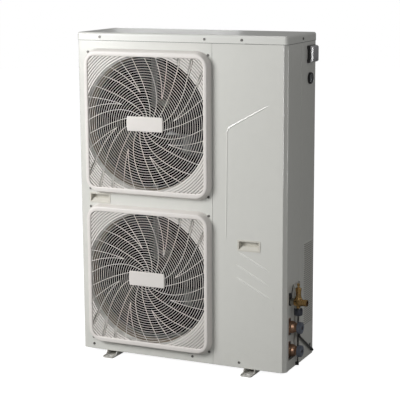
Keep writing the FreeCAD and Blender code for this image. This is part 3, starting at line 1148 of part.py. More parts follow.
cover = cut(
    box(IX + 9.3, IY0 + 8.4, IZ0 + 1.0, IX + 22.0, IY1 + 0.6, IZ1 - 1.0),
    box(IX + 8.0, IY0 + 10.2, IZ0 + 2.8, IX + 20.2, IY1 - 1.2, IZ1 - 2.8))
barrel = cut(
    fuse(cyl("Z", IX + 10.6, IY0 + 2.6, IZ0 + 13.4, 2.6, IZ1 - IZ0 - 26.8), box(IX + 11.2, IY0 + 2.6, IZ0 + 13.4, IX + 12.9, IY0 + 10.0, IZ1 - 13.4)),
    cyl("Z", IX + 10.6, IY0 + 2.6, IZ0, 1.55, 90.0))
node("isolator_cover", fuse(cover, barrel))


# ================================================================ hand grips
def grip(name, rect):
    """A recessed finger pull: frame on the panel, cup behind it, sloping lower lip."""
    x0, z0, x1, z1 = rect
    b = new_body(name)
    y_out = PANEL_F - 1.5
    sk = new_sketch(b, "XZ_Plane", 0, 0, -(PANEL_F - 0.02))
    draw_rect(sk, x0, z0, x1, z1)
    f = pad(b, sk, 1.5)
    f = round_edges(b, f, V(0, 1, 0), 4.0)
    sk = new_sketch(b, "XZ_Plane", 0, 0, -(PANEL_F + 21))
    draw_rect(sk, x0 + 4.4, z0 + 4.4, x1 - 4.4, z1 - 4.4)
    f = pad(b, sk, 21.02)
    sk = new_sketch(b, "YZ_Plane", 0, 0, x0 + 5.8)
    draw_poly(sk, [
        (PANEL_F - 3, z0 + 5.8), (PANEL_F + 0.5, z0 + 5.8), (PANEL_F + 10.5, z0 + 19.5), (PANEL_F + 19.5, z0 + 19.5), (PANEL_F + 19.5, z1 - 5.8), (PANEL_F - 3, z1 - 5.8)])
    f = pocket(b, sk, x1 - x0 - 11.6, reverse=True)
    node(name, b)


grip("fan_panel_grip", GRIP_L)
grip("service_panel_grip", GRIP_R)


# ================================================================ screws
def screw(axis_out, x, y, z, long=9.0):
    """Pan-head screw; the head is on the side axis_out points to."""
    shank = Part.makeCylinder(N.screw_rad, long, V(x, y, z), -axis_out)
    head = Part.makeCylinder(N.head_rad, N.head_tall, V(x, y, z), axis_out)
    rim = [e for e in head.Edges if e.Curve.TypeId == "Part::GeomCircle" and (e.CenterOfMass - V(x, y, z)).dot(axis_out) > N.head_tall - 0.1]
    head = head.makeFillet(1.2, rim)
    slot = Part.makeBox(1.1, 1.1, 6.4, V(-0.55, -0.55, -3.2)).fuse(Part.makeBox(6.4, 1.1, 1.1, V(-3.2, -0.55, -0.55)))
    if abs(axis_out.y) > 0.5:
        slot.translate(V(x, y + axis_out.y * N.head_tall, z))
    else:
        slot.rotate(V(0, 0, 0), V(0, 0, 1), 90)
        slot.translate(V(x + axis_out.x * N.head_tall, y, z))
    return head.fuse(shank).cut(slot)


FR, RI, BK = V(0, -1, 0), V(1, 0, 0), V(0, 1, 0)
y_panel = N.case_front + N.inset_gap - 0.02
lsz = N.case_top - 17.5
node("service_panel_screw", feature(screw(FR, 263.0, y_panel, 42.0, 7.0)))
fx = N.valve_plane + N.sheet_thk + 3.2
pans = [screw(FR, x, y_panel, z) for x, z in GRILLE_SCREWS]
pans += [screw(FR, x, y_panel, 42.0) for x in (-390.0, 60.0)]
pans += [screw(FR, x, N.case_front - 0.02, lsz) for x in LID_SCREW_X]
pans += [screw(BK, x, N.case_rear + 0.02, lsz) for x in (-336.4, 274.5)]
pans += [screw(RI, N.case_right + 0.02, 6.0, lsz)]
pans += [screw(RI, fx + 0.02, -60.0, level + 28.5 * s, 8.0) for level in (N.inlet_level, N.outlet_level) for s in (-1, 1)]
for level in (N.fan_upper, N.fan_lower):
    for sx in (-1, 1):
        for sz in (-1, 1):
            pans.append(screw(BK, N.fan_across + 50 * sx, BR_Y + 2.02, level + 50 * sz, 10.0))
node("panel_screws", feature(Part.makeCompound(pans)))

# ================================================================ output
doc.recompute()
bad = [o.Name + ":" + o.Label + ":" + ",".join(o.State) for o in doc.Objects if any(s in ("Invalid", "Error") for s in o.State)]
if bad:
    raise RuntimeError("features failed: " + "; ".join(bad))
for name, obj in NODES:
    shape = obj.Shape
    if shape.isNull() or not shape.isValid() or not shape.Solids:
        raise RuntimeError("bad shape: " + name)

os.makedirs("parts", exist_ok=True)
for old in os.listdir("parts"):
    if old.endswith(".step"):
        os.remove(os.path.join("parts", old))
for name, obj in NODES:
    obj.Shape.exportStep("parts/%s.step" % name)
total = Part.makeCompound([o.Shape for n, o in NODES]).BoundBox
print("nodes", len(NODES))
print("box", round(total.XMin, 2), round(total.YMin, 2), round(total.ZMin, 2), round(total.XMax, 2), round(total.YMax, 2), round(total.ZMax, 2))
for name, obj in NODES:
    print(name, len(obj.Shape.Solids), round(obj.Shape.Volume, 0))
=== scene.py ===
import json
import math
import bpy
import bmesh
from mathutils import Matrix, Vector


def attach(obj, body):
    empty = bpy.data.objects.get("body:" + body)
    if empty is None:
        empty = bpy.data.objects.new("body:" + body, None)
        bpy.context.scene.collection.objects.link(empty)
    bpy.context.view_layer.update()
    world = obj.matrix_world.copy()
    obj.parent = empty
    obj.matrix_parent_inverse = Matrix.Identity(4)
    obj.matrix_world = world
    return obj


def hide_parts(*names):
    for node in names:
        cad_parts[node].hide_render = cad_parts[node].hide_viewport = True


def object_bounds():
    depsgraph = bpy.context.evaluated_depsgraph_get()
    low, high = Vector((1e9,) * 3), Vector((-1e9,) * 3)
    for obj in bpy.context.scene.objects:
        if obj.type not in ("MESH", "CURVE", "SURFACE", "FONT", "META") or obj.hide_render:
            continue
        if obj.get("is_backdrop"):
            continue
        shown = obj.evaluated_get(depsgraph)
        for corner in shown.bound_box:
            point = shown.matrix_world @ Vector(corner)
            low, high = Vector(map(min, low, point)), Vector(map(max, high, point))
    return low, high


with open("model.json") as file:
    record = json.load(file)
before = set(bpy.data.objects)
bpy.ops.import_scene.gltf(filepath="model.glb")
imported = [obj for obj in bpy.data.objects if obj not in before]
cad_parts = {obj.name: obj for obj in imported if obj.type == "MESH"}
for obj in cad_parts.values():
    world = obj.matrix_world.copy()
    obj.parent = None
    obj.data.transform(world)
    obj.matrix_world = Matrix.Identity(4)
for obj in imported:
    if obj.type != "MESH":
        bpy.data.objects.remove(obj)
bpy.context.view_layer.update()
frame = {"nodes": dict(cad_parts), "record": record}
NODES = frame["nodes"]
scene = bpy.context.scene
MM = 0.001
FAN_X, FAN_UP, FAN_LO = -129.0, 973.0, 346.0


# ---------------------------------------------------------------- node helpers
class Shade:
    """One procedural material: object coordinates, noises, bump chain and a Principled shader."""

    def __init__(self, name, rgb, rough=0.5, metallic=0.0, specular=0.5, coat=0.0, coat_rough=0.2):
        self.m = bpy.data.materials.new(name)
        self.m.use_nodes = True
        self.nt = self.m.node_tree
        self.nt.nodes.clear()
        self.out = self.add("ShaderNodeOutputMaterial")
        self.sh = self.add("ShaderNodeBsdfPrincipled")
        self.link(self.sh.outputs[0], self.out.inputs[0])
        self.sh.inputs["Base Color"].default_value = (*rgb, 1)
        self.sh.inputs["Roughness"].default_value = rough
        self.sh.inputs["Metallic"].default_value = metallic
        self.sh.inputs["Specular IOR Level"].default_value = specular
        self.sh.inputs["Coat Weight"].default_value = coat
        self.sh.inputs["Coat Roughness"].default_value = coat_rough
        self.rgb, self.rough = rgb, rough
        self.col = None
        self.normal = None
        self.tc = self.add("ShaderNodeTexCoord")

    def add(self, kind, **kw):
        n = self.nt.nodes.new(kind)
        for k, v in kw.items():
            setattr(n, k, v)
        return n

    def link(self, a, b):
        self.nt.links.new(a, b)

    def coords(self, scale=(1, 1, 1), rot=(0, 0, 0)):
        mp = self.add("ShaderNodeMapping")
        mp.inputs["Scale"].default_value = scale
        mp.inputs["Rotation"].default_value = rot
        self.link(self.tc.outputs["Object"], mp.inputs["Vector"])
        return mp.outputs[0]

    def noise(self, scale, detail=3.0, rough=0.55, stretch=(1, 1, 1), distortion=0.0):
        n = self.add("ShaderNodeTexNoise")
        n.inputs["Scale"].default_value = scale
        n.inputs["Detail"].default_value = detail
        n.inputs["Roughness"].default_value = rough
        n.inputs["Distortion"].default_value = distortion
        self.link(self.coords(stretch), n.inputs["Vector"])
        return n.outputs["Fac"]

    def voronoi(self, scale, feature="F1", stretch=(1, 1, 1)):
        n = self.add("ShaderNodeTexVoronoi", feature=feature)
        n.inputs["Scale"].default_value = scale
        self.link(self.coords(stretch), n.inputs["Vector"])
        return n.outputs["Distance"]

    def cells(self, scale):
        n = self.add("ShaderNodeTexVoronoi")
        n.inputs["Scale"].default_value = scale
        self.link(self.coords(), n.inputs["Vector"])
        bw = self.add("ShaderNodeRGBToBW")
        self.link(n.outputs["Color"], bw.inputs[0])
        return bw.outputs[0]

    def wave(self, scale, axis="X", stretch=(1, 1, 1), distortion=0.0):
        n = self.add("ShaderNodeTexWave", wave_type="BANDS", bands_direction=axis)
        n.inputs["Scale"].default_value = scale
        n.inputs["Distortion"].default_value = distortion
        self.link(self.coords(stretch), n.inputs["Vector"])
        return n.outputs["Fac"]

    def ramp(self, fac, a, b, lo=0.0, hi=1.0):
        r = self.add("ShaderNodeMapRange")
        r.inputs["From Min"].default_value = a
        r.inputs["From Max"].default_value = b
        r.inputs["To Min"].default_value = lo
        r.inputs["To Max"].default_value = hi
        self.link(fac, r.inputs["Value"])
        return r.outputs[0]

    def mul(self, a, b):
        n = self.add("ShaderNodeMath", operation="MULTIPLY")
        self.link(a, n.inputs[0])
        if isinstance(b, float):
            n.inputs[1].default_value = b
        else:
            self.link(b, n.inputs[1])
        return n.outputs[0]

    def tint(self, fac, rgb):
        """Mix rgb into the colour by fac."""
        mx = self.add("ShaderNodeMix", data_type="RGBA")
        self.link(fac, mx.inputs["Factor"])
        if self.col is None:
            mx.inputs["A"].default_value = (*self.rgb, 1)
        else:
            self.link(self.col, mx.inputs["A"])
        mx.inputs["B"].default_value = (*rgb, 1)
        self.col = mx.outputs["Result"]
        return self

    def mottle(self, scale, rgb, amount, lo=0.35, hi=0.7, detail=4.0, stretch=(1, 1, 1)):
        return self.tint(self.ramp(self.noise(scale, detail, stretch=stretch), lo, hi, 0.0, amount), rgb)

    def height(self, fac, strength, dist):
        b = self.add("ShaderNodeBump")
        b.inputs["Strength"].default_value = strength
        b.inputs["Distance"].default_value = dist
        self.link(fac, b.inputs["Height"])
        if self.normal is not None:
            self.link(self.normal, b.inputs["Normal"])
        self.normal = b.outputs[0]
        return self

    def gloss(self, fac, lo, hi):
        self.link(self.ramp(fac, 0.3, 0.7, lo, hi), self.sh.inputs["Roughness"])
        return self

    def level(self, z_lo, z_hi):
        """1 at z_lo falling to 0 at z_hi, in metres of the part's frame."""
        s = self.add("ShaderNodeSeparateXYZ")
        self.link(self.tc.outputs["Object"], s.inputs[0])
        return self.ramp(s.outputs["Z"], z_hi, z_lo, 0.0, 1.0)

    def along(self, axis, one_at, zero_at):
        """1 at one place on an axis falling to 0 at another, in metres of the part's frame."""
        s = self.add("ShaderNodeSeparateXYZ")
        self.link(self.tc.outputs["Object"], s.inputs[0])
        return self.ramp(s.outputs[axis], zero_at, one_at, 0.0, 1.0)

    def done(self):
        if self.col is not None:
            self.link(self.col, self.sh.inputs["Base Color"])
        if self.normal is not None:
            self.link(self.normal, self.sh.inputs["Normal"])
        return self.m


def powder(name, rgb, dark, rough=0.42, peel=0.10, dust=0.10, coat_rough=0.13):
    """Powder-coated sheet: orange peel, slow tone drift, a little dust low down and along the run of the wipe."""
    s = Shade(name, rgb, rough, specular=0.45, coat=0.7, coat_rough=coat_rough)
    s.mottle(2.2, dark, 0.35, 0.3, 0.8, 3.0)
    s.mottle(26.0, tuple(c * 0.94 for c in rgb), 0.35, 0.4, 0.75, 5.0)
    low = s.mul(s.level(0.015, 0.16), s.ramp(s.noise(34.0, 6.0, 0.62), 0.42, 0.72))
    s.tint(s.mul(low, dust), (rgb[0] * 0.62, rgb[1] * 0.58, rgb[2] * 0.50))
    s.height(s.noise(520.0, 2.0), peel, 0.00012)
    s.height(s.noise(9.0, 2.0), 0.06, 0.004)
    s.gloss(s.noise(60.0, 4.0), rough - 0.05, rough + 0.08)
    return s.done()


def moulded(name, rgb, rough=0.4, grain=0.12, scale=900.0, drift=0.9, specular=0.5):
    s = Shade(name, rgb, rough, specular=specular)
    s.mottle(5.0, tuple(c * drift for c in rgb), 0.5)
    s.mottle(70.0, tuple(c * (drift + 0.04) for c in rgb), 0.4)
    s.height(s.noise(scale, 2.0), grain, 0.0001)
    s.gloss(s.noise(48.0, 4.0), rough - 0.06, rough + 0.08)
    return s.done()


def zinc(name, rgb, rough=0.36):
    s = Shade(name, rgb, rough, metallic=0.9)
    s.tint(s.ramp(s.cells(95.0), 0.2, 0.8, 0.0, 0.35), tuple(c * 0.72 for c in rgb))
    s.mottle(8.0, tuple(c * 0.8 for c in rgb), 0.4)
    s.height(s.cells(95.0), 0.05, 0.0003)
    s.gloss(s.cells(95.0), rough - 0.06, rough + 0.12)
    return s.done()


def machined(name, rgb, dull, rough=0.28, stretch=(1, 1, 14), stain=0.5):
    s = Shade(name, rgb, rough, metallic=1.0)
    s.mottle(22.0, dull, stain, 0.38, 0.72, 6.0)
    s.mottle(160.0, tuple(c * 0.75 for c in rgb), 0.35, 0.45, 0.7)
    s.height(s.noise(300.0, 3.0, stretch=stretch), 0.10, 0.00015)
    s.gloss(s.noise(40.0, 5.0), rough - 0.08, rough + 0.18)
    return s.done()


def rubber(name, rgb, rough=0.5, grain=0.15, coat=0.0):
    s = Shade(name, rgb, rough, specular=0.5, coat=coat, coat_rough=0.12)
    s.mottle(30.0, tuple(min(1, c * 2.2 + 0.01) for c in rgb), 0.35, 0.45, 0.8, 5.0)
    s.height(s.noise(650.0, 3.0), grain, 0.00012)
    s.gloss(s.noise(70.0, 4.0), rough - 0.07, rough + 0.1)
    return s.done()


CASING = powder("casing_powder_coat", (0.705, 0.705, 0.665), (0.665, 0.662, 0.62), rough=0.36)
CASING_LID = powder("lid_powder_coat", (0.71, 0.712, 0.675), (0.67, 0.67, 0.63), rough=0.36, coat_rough=0.28)
# lighter copy of the casing coat for the pressed ridges: painted highlight
PRESSED_PAINTED_HIGHLIGHT = powder("pressed_coat_painted_highlight", (0.82, 0.82, 0.78), (0.78, 0.78, 0.74), rough=0.34)
FOOT = powder("foot_paint", (0.70, 0.69, 0.655), (0.60, 0.585, 0.54), rough=0.45, dust=0.35)
GUARD = powder("guard_coating", (0.60, 0.59, 0.555), (0.52, 0.51, 0.47), rough=0.4)
CREAM = moulded("grille_moulding", (0.80, 0.765, 0.73), rough=0.38, grain=0.08)
# air rings: the cream moulding darkened to brown as painted shade inside the rings
BELL_PAINTED_SHADE = moulded("air_ring_moulding_painted_shade", (0.32, 0.265, 0.20), rough=0.55, grain=0.1)
GRIP = moulded("grip_moulding", (0.66, 0.64, 0.575), rough=0.45, grain=0.16)
ZINC = zinc("galvanised_sheet", (0.56, 0.57, 0.58))
MOTOR = moulded("motor_casting", (0.07, 0.072, 0.075), rough=0.45, grain=0.5, scale=420.0)
STEEL = machined("shaft_steel", (0.60, 0.60, 0.59), (0.42, 0.41, 0.39), 0.25)
PLATED = machined("plated_steel", (0.60, 0.585, 0.53), (0.46, 0.43, 0.36), 0.32)
SCREW = machined("screw_steel", (0.20, 0.195, 0.185), (0.11, 0.105, 0.10), 0.42)
FAN = moulded("fan_plastic", (0.004, 0.004, 0.005), rough=0.5, grain=0.2, drift=1.5, specular=0.02)
COPPER = machined("copper_tube", (0.50, 0.31, 0.21), (0.28, 0.17, 0.11), 0.38, stain=0.7)
BLACK = moulded("black_enamel", (0.02, 0.02, 0.022), rough=0.3, grain=0.1, drift=1.6)
# dark strip under the lid's lip: a painted shadow line standing in for the lip's shadow
SEAL_PAINTED_SHADOW = rubber("lid_seal_painted_shadow_line", (0.05, 0.05, 0.048), 0.6)
RUBBER = rubber("soft_rubber", (0.018, 0.018, 0.019), 0.55)
HOSE = rubber("hose_rubber", (0.012, 0.012, 0.013), 0.16, 0.04, coat=1.0)
SHEATH = rubber("cable_sheath", (0.014, 0.014, 0.014), 0.42, 0.1)
STAINLESS = machined("stainless_plate", (0.58, 0.58, 0.565), (0.44, 0.43, 0.41), 0.3, (10, 10, 1), 0.3)
CAST = moulded("coated_casting", (0.13, 0.13, 0.125), rough=0.5, grain=0.6, scale=380.0)
RED = powder("vessel_paint", (0.42, 0.035, 0.028), (0.30, 0.02, 0.018), rough=0.35, dust=0.0)
BOARD = moulded("board_mask", (0.02, 0.12, 0.06), rough=0.3, grain=0.15, scale=260.0)
TERMINAL = moulded("terminal_block", (0.22, 0.235, 0.245), rough=0.5)
RING = moulded("ring_plastic", (0.17, 0.19, 0.235), rough=0.38, grain=0.2, drift=0.75)
BRASS = machined("machined_brass", (0.66, 0.43, 0.18), (0.22, 0.12, 0.05), 0.17, stain=0.75)
KNOB = moulded("knob_plastic", (0.050, 0.055, 0.070), rough=0.36, grain=0.2, drift=1.5)
GAUGE = moulded("gauge_plastic", (0.008, 0.008, 0.009), rough=0.28, grain=0.1, drift=1.5)
DIAL = moulded("dial_paint", (0.40, 0.40, 0.41), rough=0.5, grain=0.05)
WHITE = moulded("pointer_paint", (0.75, 0.75, 0.72), rough=0.5)
SWITCH = moulded("switch_plastic", (0.02, 0.02, 0.02), rough=0.4, grain=0.2, drift=1.6)


def louvre_paint_painted_shadow():
    """Casing paint with painted shadow: a dark band painted under the lip of every louvre, which repeat every 8.4 mm of
    height.
    """
    s = Shade("louvre_coat_painted_shadow", (0.66, 0.655, 0.61), 0.4, specular=0.45, coat=0.4, coat_rough=0.15)
    n = s.add("ShaderNodeTexWave", wave_type="BANDS", bands_direction="Z")
    n.inputs["Scale"].default_value = 2 * math.pi / (20.0 * 0.0084)
    n.inputs["Phase Offset"].default_value = math.pi - (2 * math.pi / 0.0084) * 0.1680
    s.link(s.coords(), n.inputs["Vector"])
    # painted shadow: each band is darkened where the lip above casts its shadow
    s.tint(s.mul(s.ramp(n.outputs["Fac"], 0.35, 0.9), 0.95), (0.10, 0.098, 0.09))
    s.mottle(30.0, (0.56, 0.55, 0.50), 0.4)
    s.height(s.noise(520.0, 2.0), 0.10, 0.00012)
    s.gloss(s.noise(60.0, 4.0), 0.34, 0.5)
    return s.done()


def fins_material():
    s = Shade("coil_fins", (0.045, 0.05, 0.058), 0.42, metallic=0.5)
    s.mottle(6.0, (0.03, 0.032, 0.036), 0.5)
    s.height(s.wave(105.0, "Z", distortion=0.0), 0.25, 0.0006)
    s.gloss(s.noise(30.0), 0.3, 0.5)
    return s.done()


def glass_material():
    s = Shade("gauge_window", (0.85, 0.88, 0.90), 0.06, specular=0.5)
    s.sh.inputs["Transmission Weight"].default_value = 0.9
    s.sh.inputs["IOR"].default_value = 1.46
    s.mottle(14.0, (0.70, 0.74, 0.76), 0.4)
    s.height(s.noise(60.0, 2.0), 0.02, 0.0002)
    return s.done()


def isolator_material():
    """Grey cover with painted highlights: a pale band painted along its hinge-side edge and a lighter band painted
    along its top.
    """
    s = Shade("isolator_shell_painted_highlight", (0.36, 0.36, 0.375), 0.25, specular=0.5, coat=1.0, coat_rough=0.12)
    s.mottle(5.0, (0.324, 0.324, 0.3375), 0.5)
    # painted highlight: pale edge band and lighter top band stand in for light caught by the cover
    s.tint(s.along("Y", 0.0655, 0.0668), (0.74, 0.74, 0.75))
    s.tint(s.mul(s.along("Z", 1.2772, 1.2735), 0.6), (0.72, 0.72, 0.72))
    s.height(s.noise(900.0, 2.0), 0.12, 0.0001)
    s.gloss(s.noise(48.0, 4.0), 0.19, 0.33)
    return s.done()


FINS = fins_material()
ISOLATOR_PAINTED_HIGHLIGHT = isolator_material()
LOUVRE_PAINTED_SHADOW = louvre_paint_painted_shadow()
GLASS = glass_material()

LOOK = {
    "casing": CASING, "foot_paint": FOOT, "guard_wire": GUARD, "galvanised": ZINC, "cream_moulding": CREAM,
    "grip_moulding": GRIP, "motor_case": MOTOR, "shaft_steel": STEEL, "plated_steel": PLATED, "screw_steel": SCREW,
    "fan_plastic": FAN, "coil_fins": FINS, "copper": COPPER, "black_paint": BLACK, "soft_rubber": RUBBER,
    "stainless": STAINLESS, "pump_bronze": CAST, "vessel_red": RED, "board_green": BOARD, "terminal_grey": TERMINAL,
    "ring_grey": RING, "brass": BRASS, "knob_grey": KNOB, "cable_black": SHEATH, "gauge_black": GAUGE,
    "needle_white": WHITE, "gauge_glass": GLASS, "isolator_grey": ISOLATOR_PAINTED_HIGHLIGHT, "switch_black": SWITCH,
}
SPECIAL = {"top_cover": CASING_LID, "upper_orifice": BELL_PAINTED_SHADE, "lower_orifice": BELL_PAINTED_SHADE, "panel_screws": SCREW, "service_panel_screw": SCREW, "drain_hose": HOSE, "lid_seal": SEAL_PAINTED_SHADOW}
for sub in frame["record"]["subparts"]:
    name = sub["node"]
    look = SPECIAL.get(name, LOOK[sub["material_slot"]])
    obj = NODES[name]
    for i in range(max(1, len(obj.material_slots))):
        if not obj.material_slots:
            obj.data.materials.append(look)
        else:
            obj.material_slots[i].link = "OBJECT"
            obj.material_slots[i].material = look


# ---------------------------------------------------------------- mesh helpers (all in millimetres)
class Mesh:
    def __init__(self):
        self.v, self.f = [], []

    def loft(self, loops, around=True, along=False, cap=False):
        """Faces between successive loops of equal length."""
        n = len(loops[0])
        base = len(self.v)
        for lp in loops:
            self.v.extend(lp)
        rows = len(loops)
        for i in range(rows if along else rows - 1):
            a, b = base + i * n, base + ((i + 1) % rows) * n
            for j in range(n if around else n - 1):
                k = (j + 1) % n
                self.f.append((a + j, a + k, b + k, b + j))
        if cap:
            self.f.append(tuple(base + j for j in reversed(range(n))))
            self.f.append(tuple(base + (rows - 1) * n + j for j in range(n)))

    def ribbon(self, path, section, closed=False, plane="XZ", base=0.0, scales=None):
        """Sweep a section of (across, out) along a flat path; out is towards -Y on plane XZ and +X on plane YZ."""
        loops = []
        m = len(path)
        for i, p in enumerate(path):
            if closed:
                q0, q1 = path[i - 1], path[(i + 1) % m]
            else:
                q0, q1 = path[max(0, i - 1)], path[min(m - 1, i + 1)]
            dx, dz = q1[0] - q0[0], q1[1] - q0[1]
            d = math.hypot(dx, dz)
            nx, nz = -dz / d, dx / d
            miter = 1.0
            if closed or 0 < i < m - 1:
                ax, az = p[0] - q0[0], p[1] - q0[1]
                la = math.hypot(ax, az)
                cosb = max(0.35, abs((ax * dx + az * dz) / (la * d)))
                miter = 1.0 / cosb
            k = scales[i] if scales else 1.0
            loop = []
            for a, o in section:
                x, z = p[0] + nx * a * miter * k, p[1] + nz * a * miter * k
                out = o * k
                loop.append((x, base - out, z) if plane == "XZ" else (base + out, x, z))
            loops.append(loop)
        self.loft(loops, around=True, along=closed, cap=not closed)

    def tube(self, pts, radius, sides=12, cap=True):
        """Round tube along 3-D points with a frame carried along; radius may be a list."""
        pts = [Vector(p) for p in pts]
        t0 = (pts[1] - pts[0]).normalized()
        up = Vector((0, 0, 1)) if abs(t0.z) < 0.9 else Vector((1, 0, 0))
        n0 = t0.cross(up).normalized()
        loops = []
        for i, p in enumerate(pts):
            t = (pts[min(i + 1, len(pts) - 1)] - pts[max(i - 1, 0)]).normalized()
            n0 = (n0 - t * n0.dot(t)).normalized()
            b0 = t.cross(n0)
            r = radius[i] if isinstance(radius, (list, tuple)) else radius
            loops.append([tuple(p + (n0 * math.cos(a) + b0 * math.sin(a)) * r)
                          for a in (2 * math.pi * k / sides for k in range(sides))])
        self.loft(loops, cap=cap)

    def turned(self, profile, centre, axis="Y", sides=48, close=True):
        """Revolve (along, radius) points about an axis through centre."""
        loops = []
        for al, r in profile:
            r = max(r, 0.001)
            lp = []
            for k in range(sides):
                a = 2 * math.pi * k / sides
                c, s = r * math.cos(a), r * math.sin(a)
                x, y, z = centre
                lp.append((x + c, y + al, z + s) if axis == "Y" else (x + al, y + c, z + s) if axis == "X" else (x + c, y + s, z + al))
            loops.append(lp)
        self.loft(loops, cap=close)

    def make(self, name, look, body, stands_for=(), angle=32.0, weld=True):
        me = bpy.data.meshes.new(name)
        me.from_pydata([(x * MM, y * MM, z * MM) for x, y, z in self.v], [], self.f)
        bm = bmesh.new()
        bm.from_mesh(me)
        if weld:
            bmesh.ops.remove_doubles(bm, verts=bm.verts, dist=0.00001)
        bmesh.ops.recalc_face_normals(bm, faces=bm.faces)
        for fc in bm.faces:
            fc.smooth = True
        bm.to_mesh(me)
        bm.free()
        me.set_sharp_from_angle(angle=math.radians(angle))
        me.materials.append(look)
        o = bpy.data.objects.new(name, me)
        scene.collection.objects.link(o)
        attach(o, body)
        if stands_for:
            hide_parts(*stands_for)
        return o


def round_rect(w, h, r, n=8):
    """Corner-rounded rectangle as (x, z) points, the same count for every size."""
    pts = []
    for cx, cz, a0 in ((w / 2 - r, h / 2 - r, 0), (-w / 2 + r, h / 2 - r, 90), (-w / 2 + r, -h / 2 + r, 180), (w / 2 - r, -h / 2 + r, 270)):
        for k in range(n + 1):
            a = math.radians(a0 + 90.0 * k / n)
            pts.append((cx + r * math.cos(a), cz + r * math.sin(a)))
    return pts


def oval(a, b, n=10, power=2.6):
    """Rounded bar section: half width a, half depth b."""
    pts = []
    for k in range(n):
        t = 2 * math.pi * (k + 0.5) / n
        c, s = math.cos(t), math.sin(t)
        pts.append((a * math.copysign(abs(c) ** (2 / power), c), b * math.copysign(abs(s) ** (2 / power), s)))
    return pts


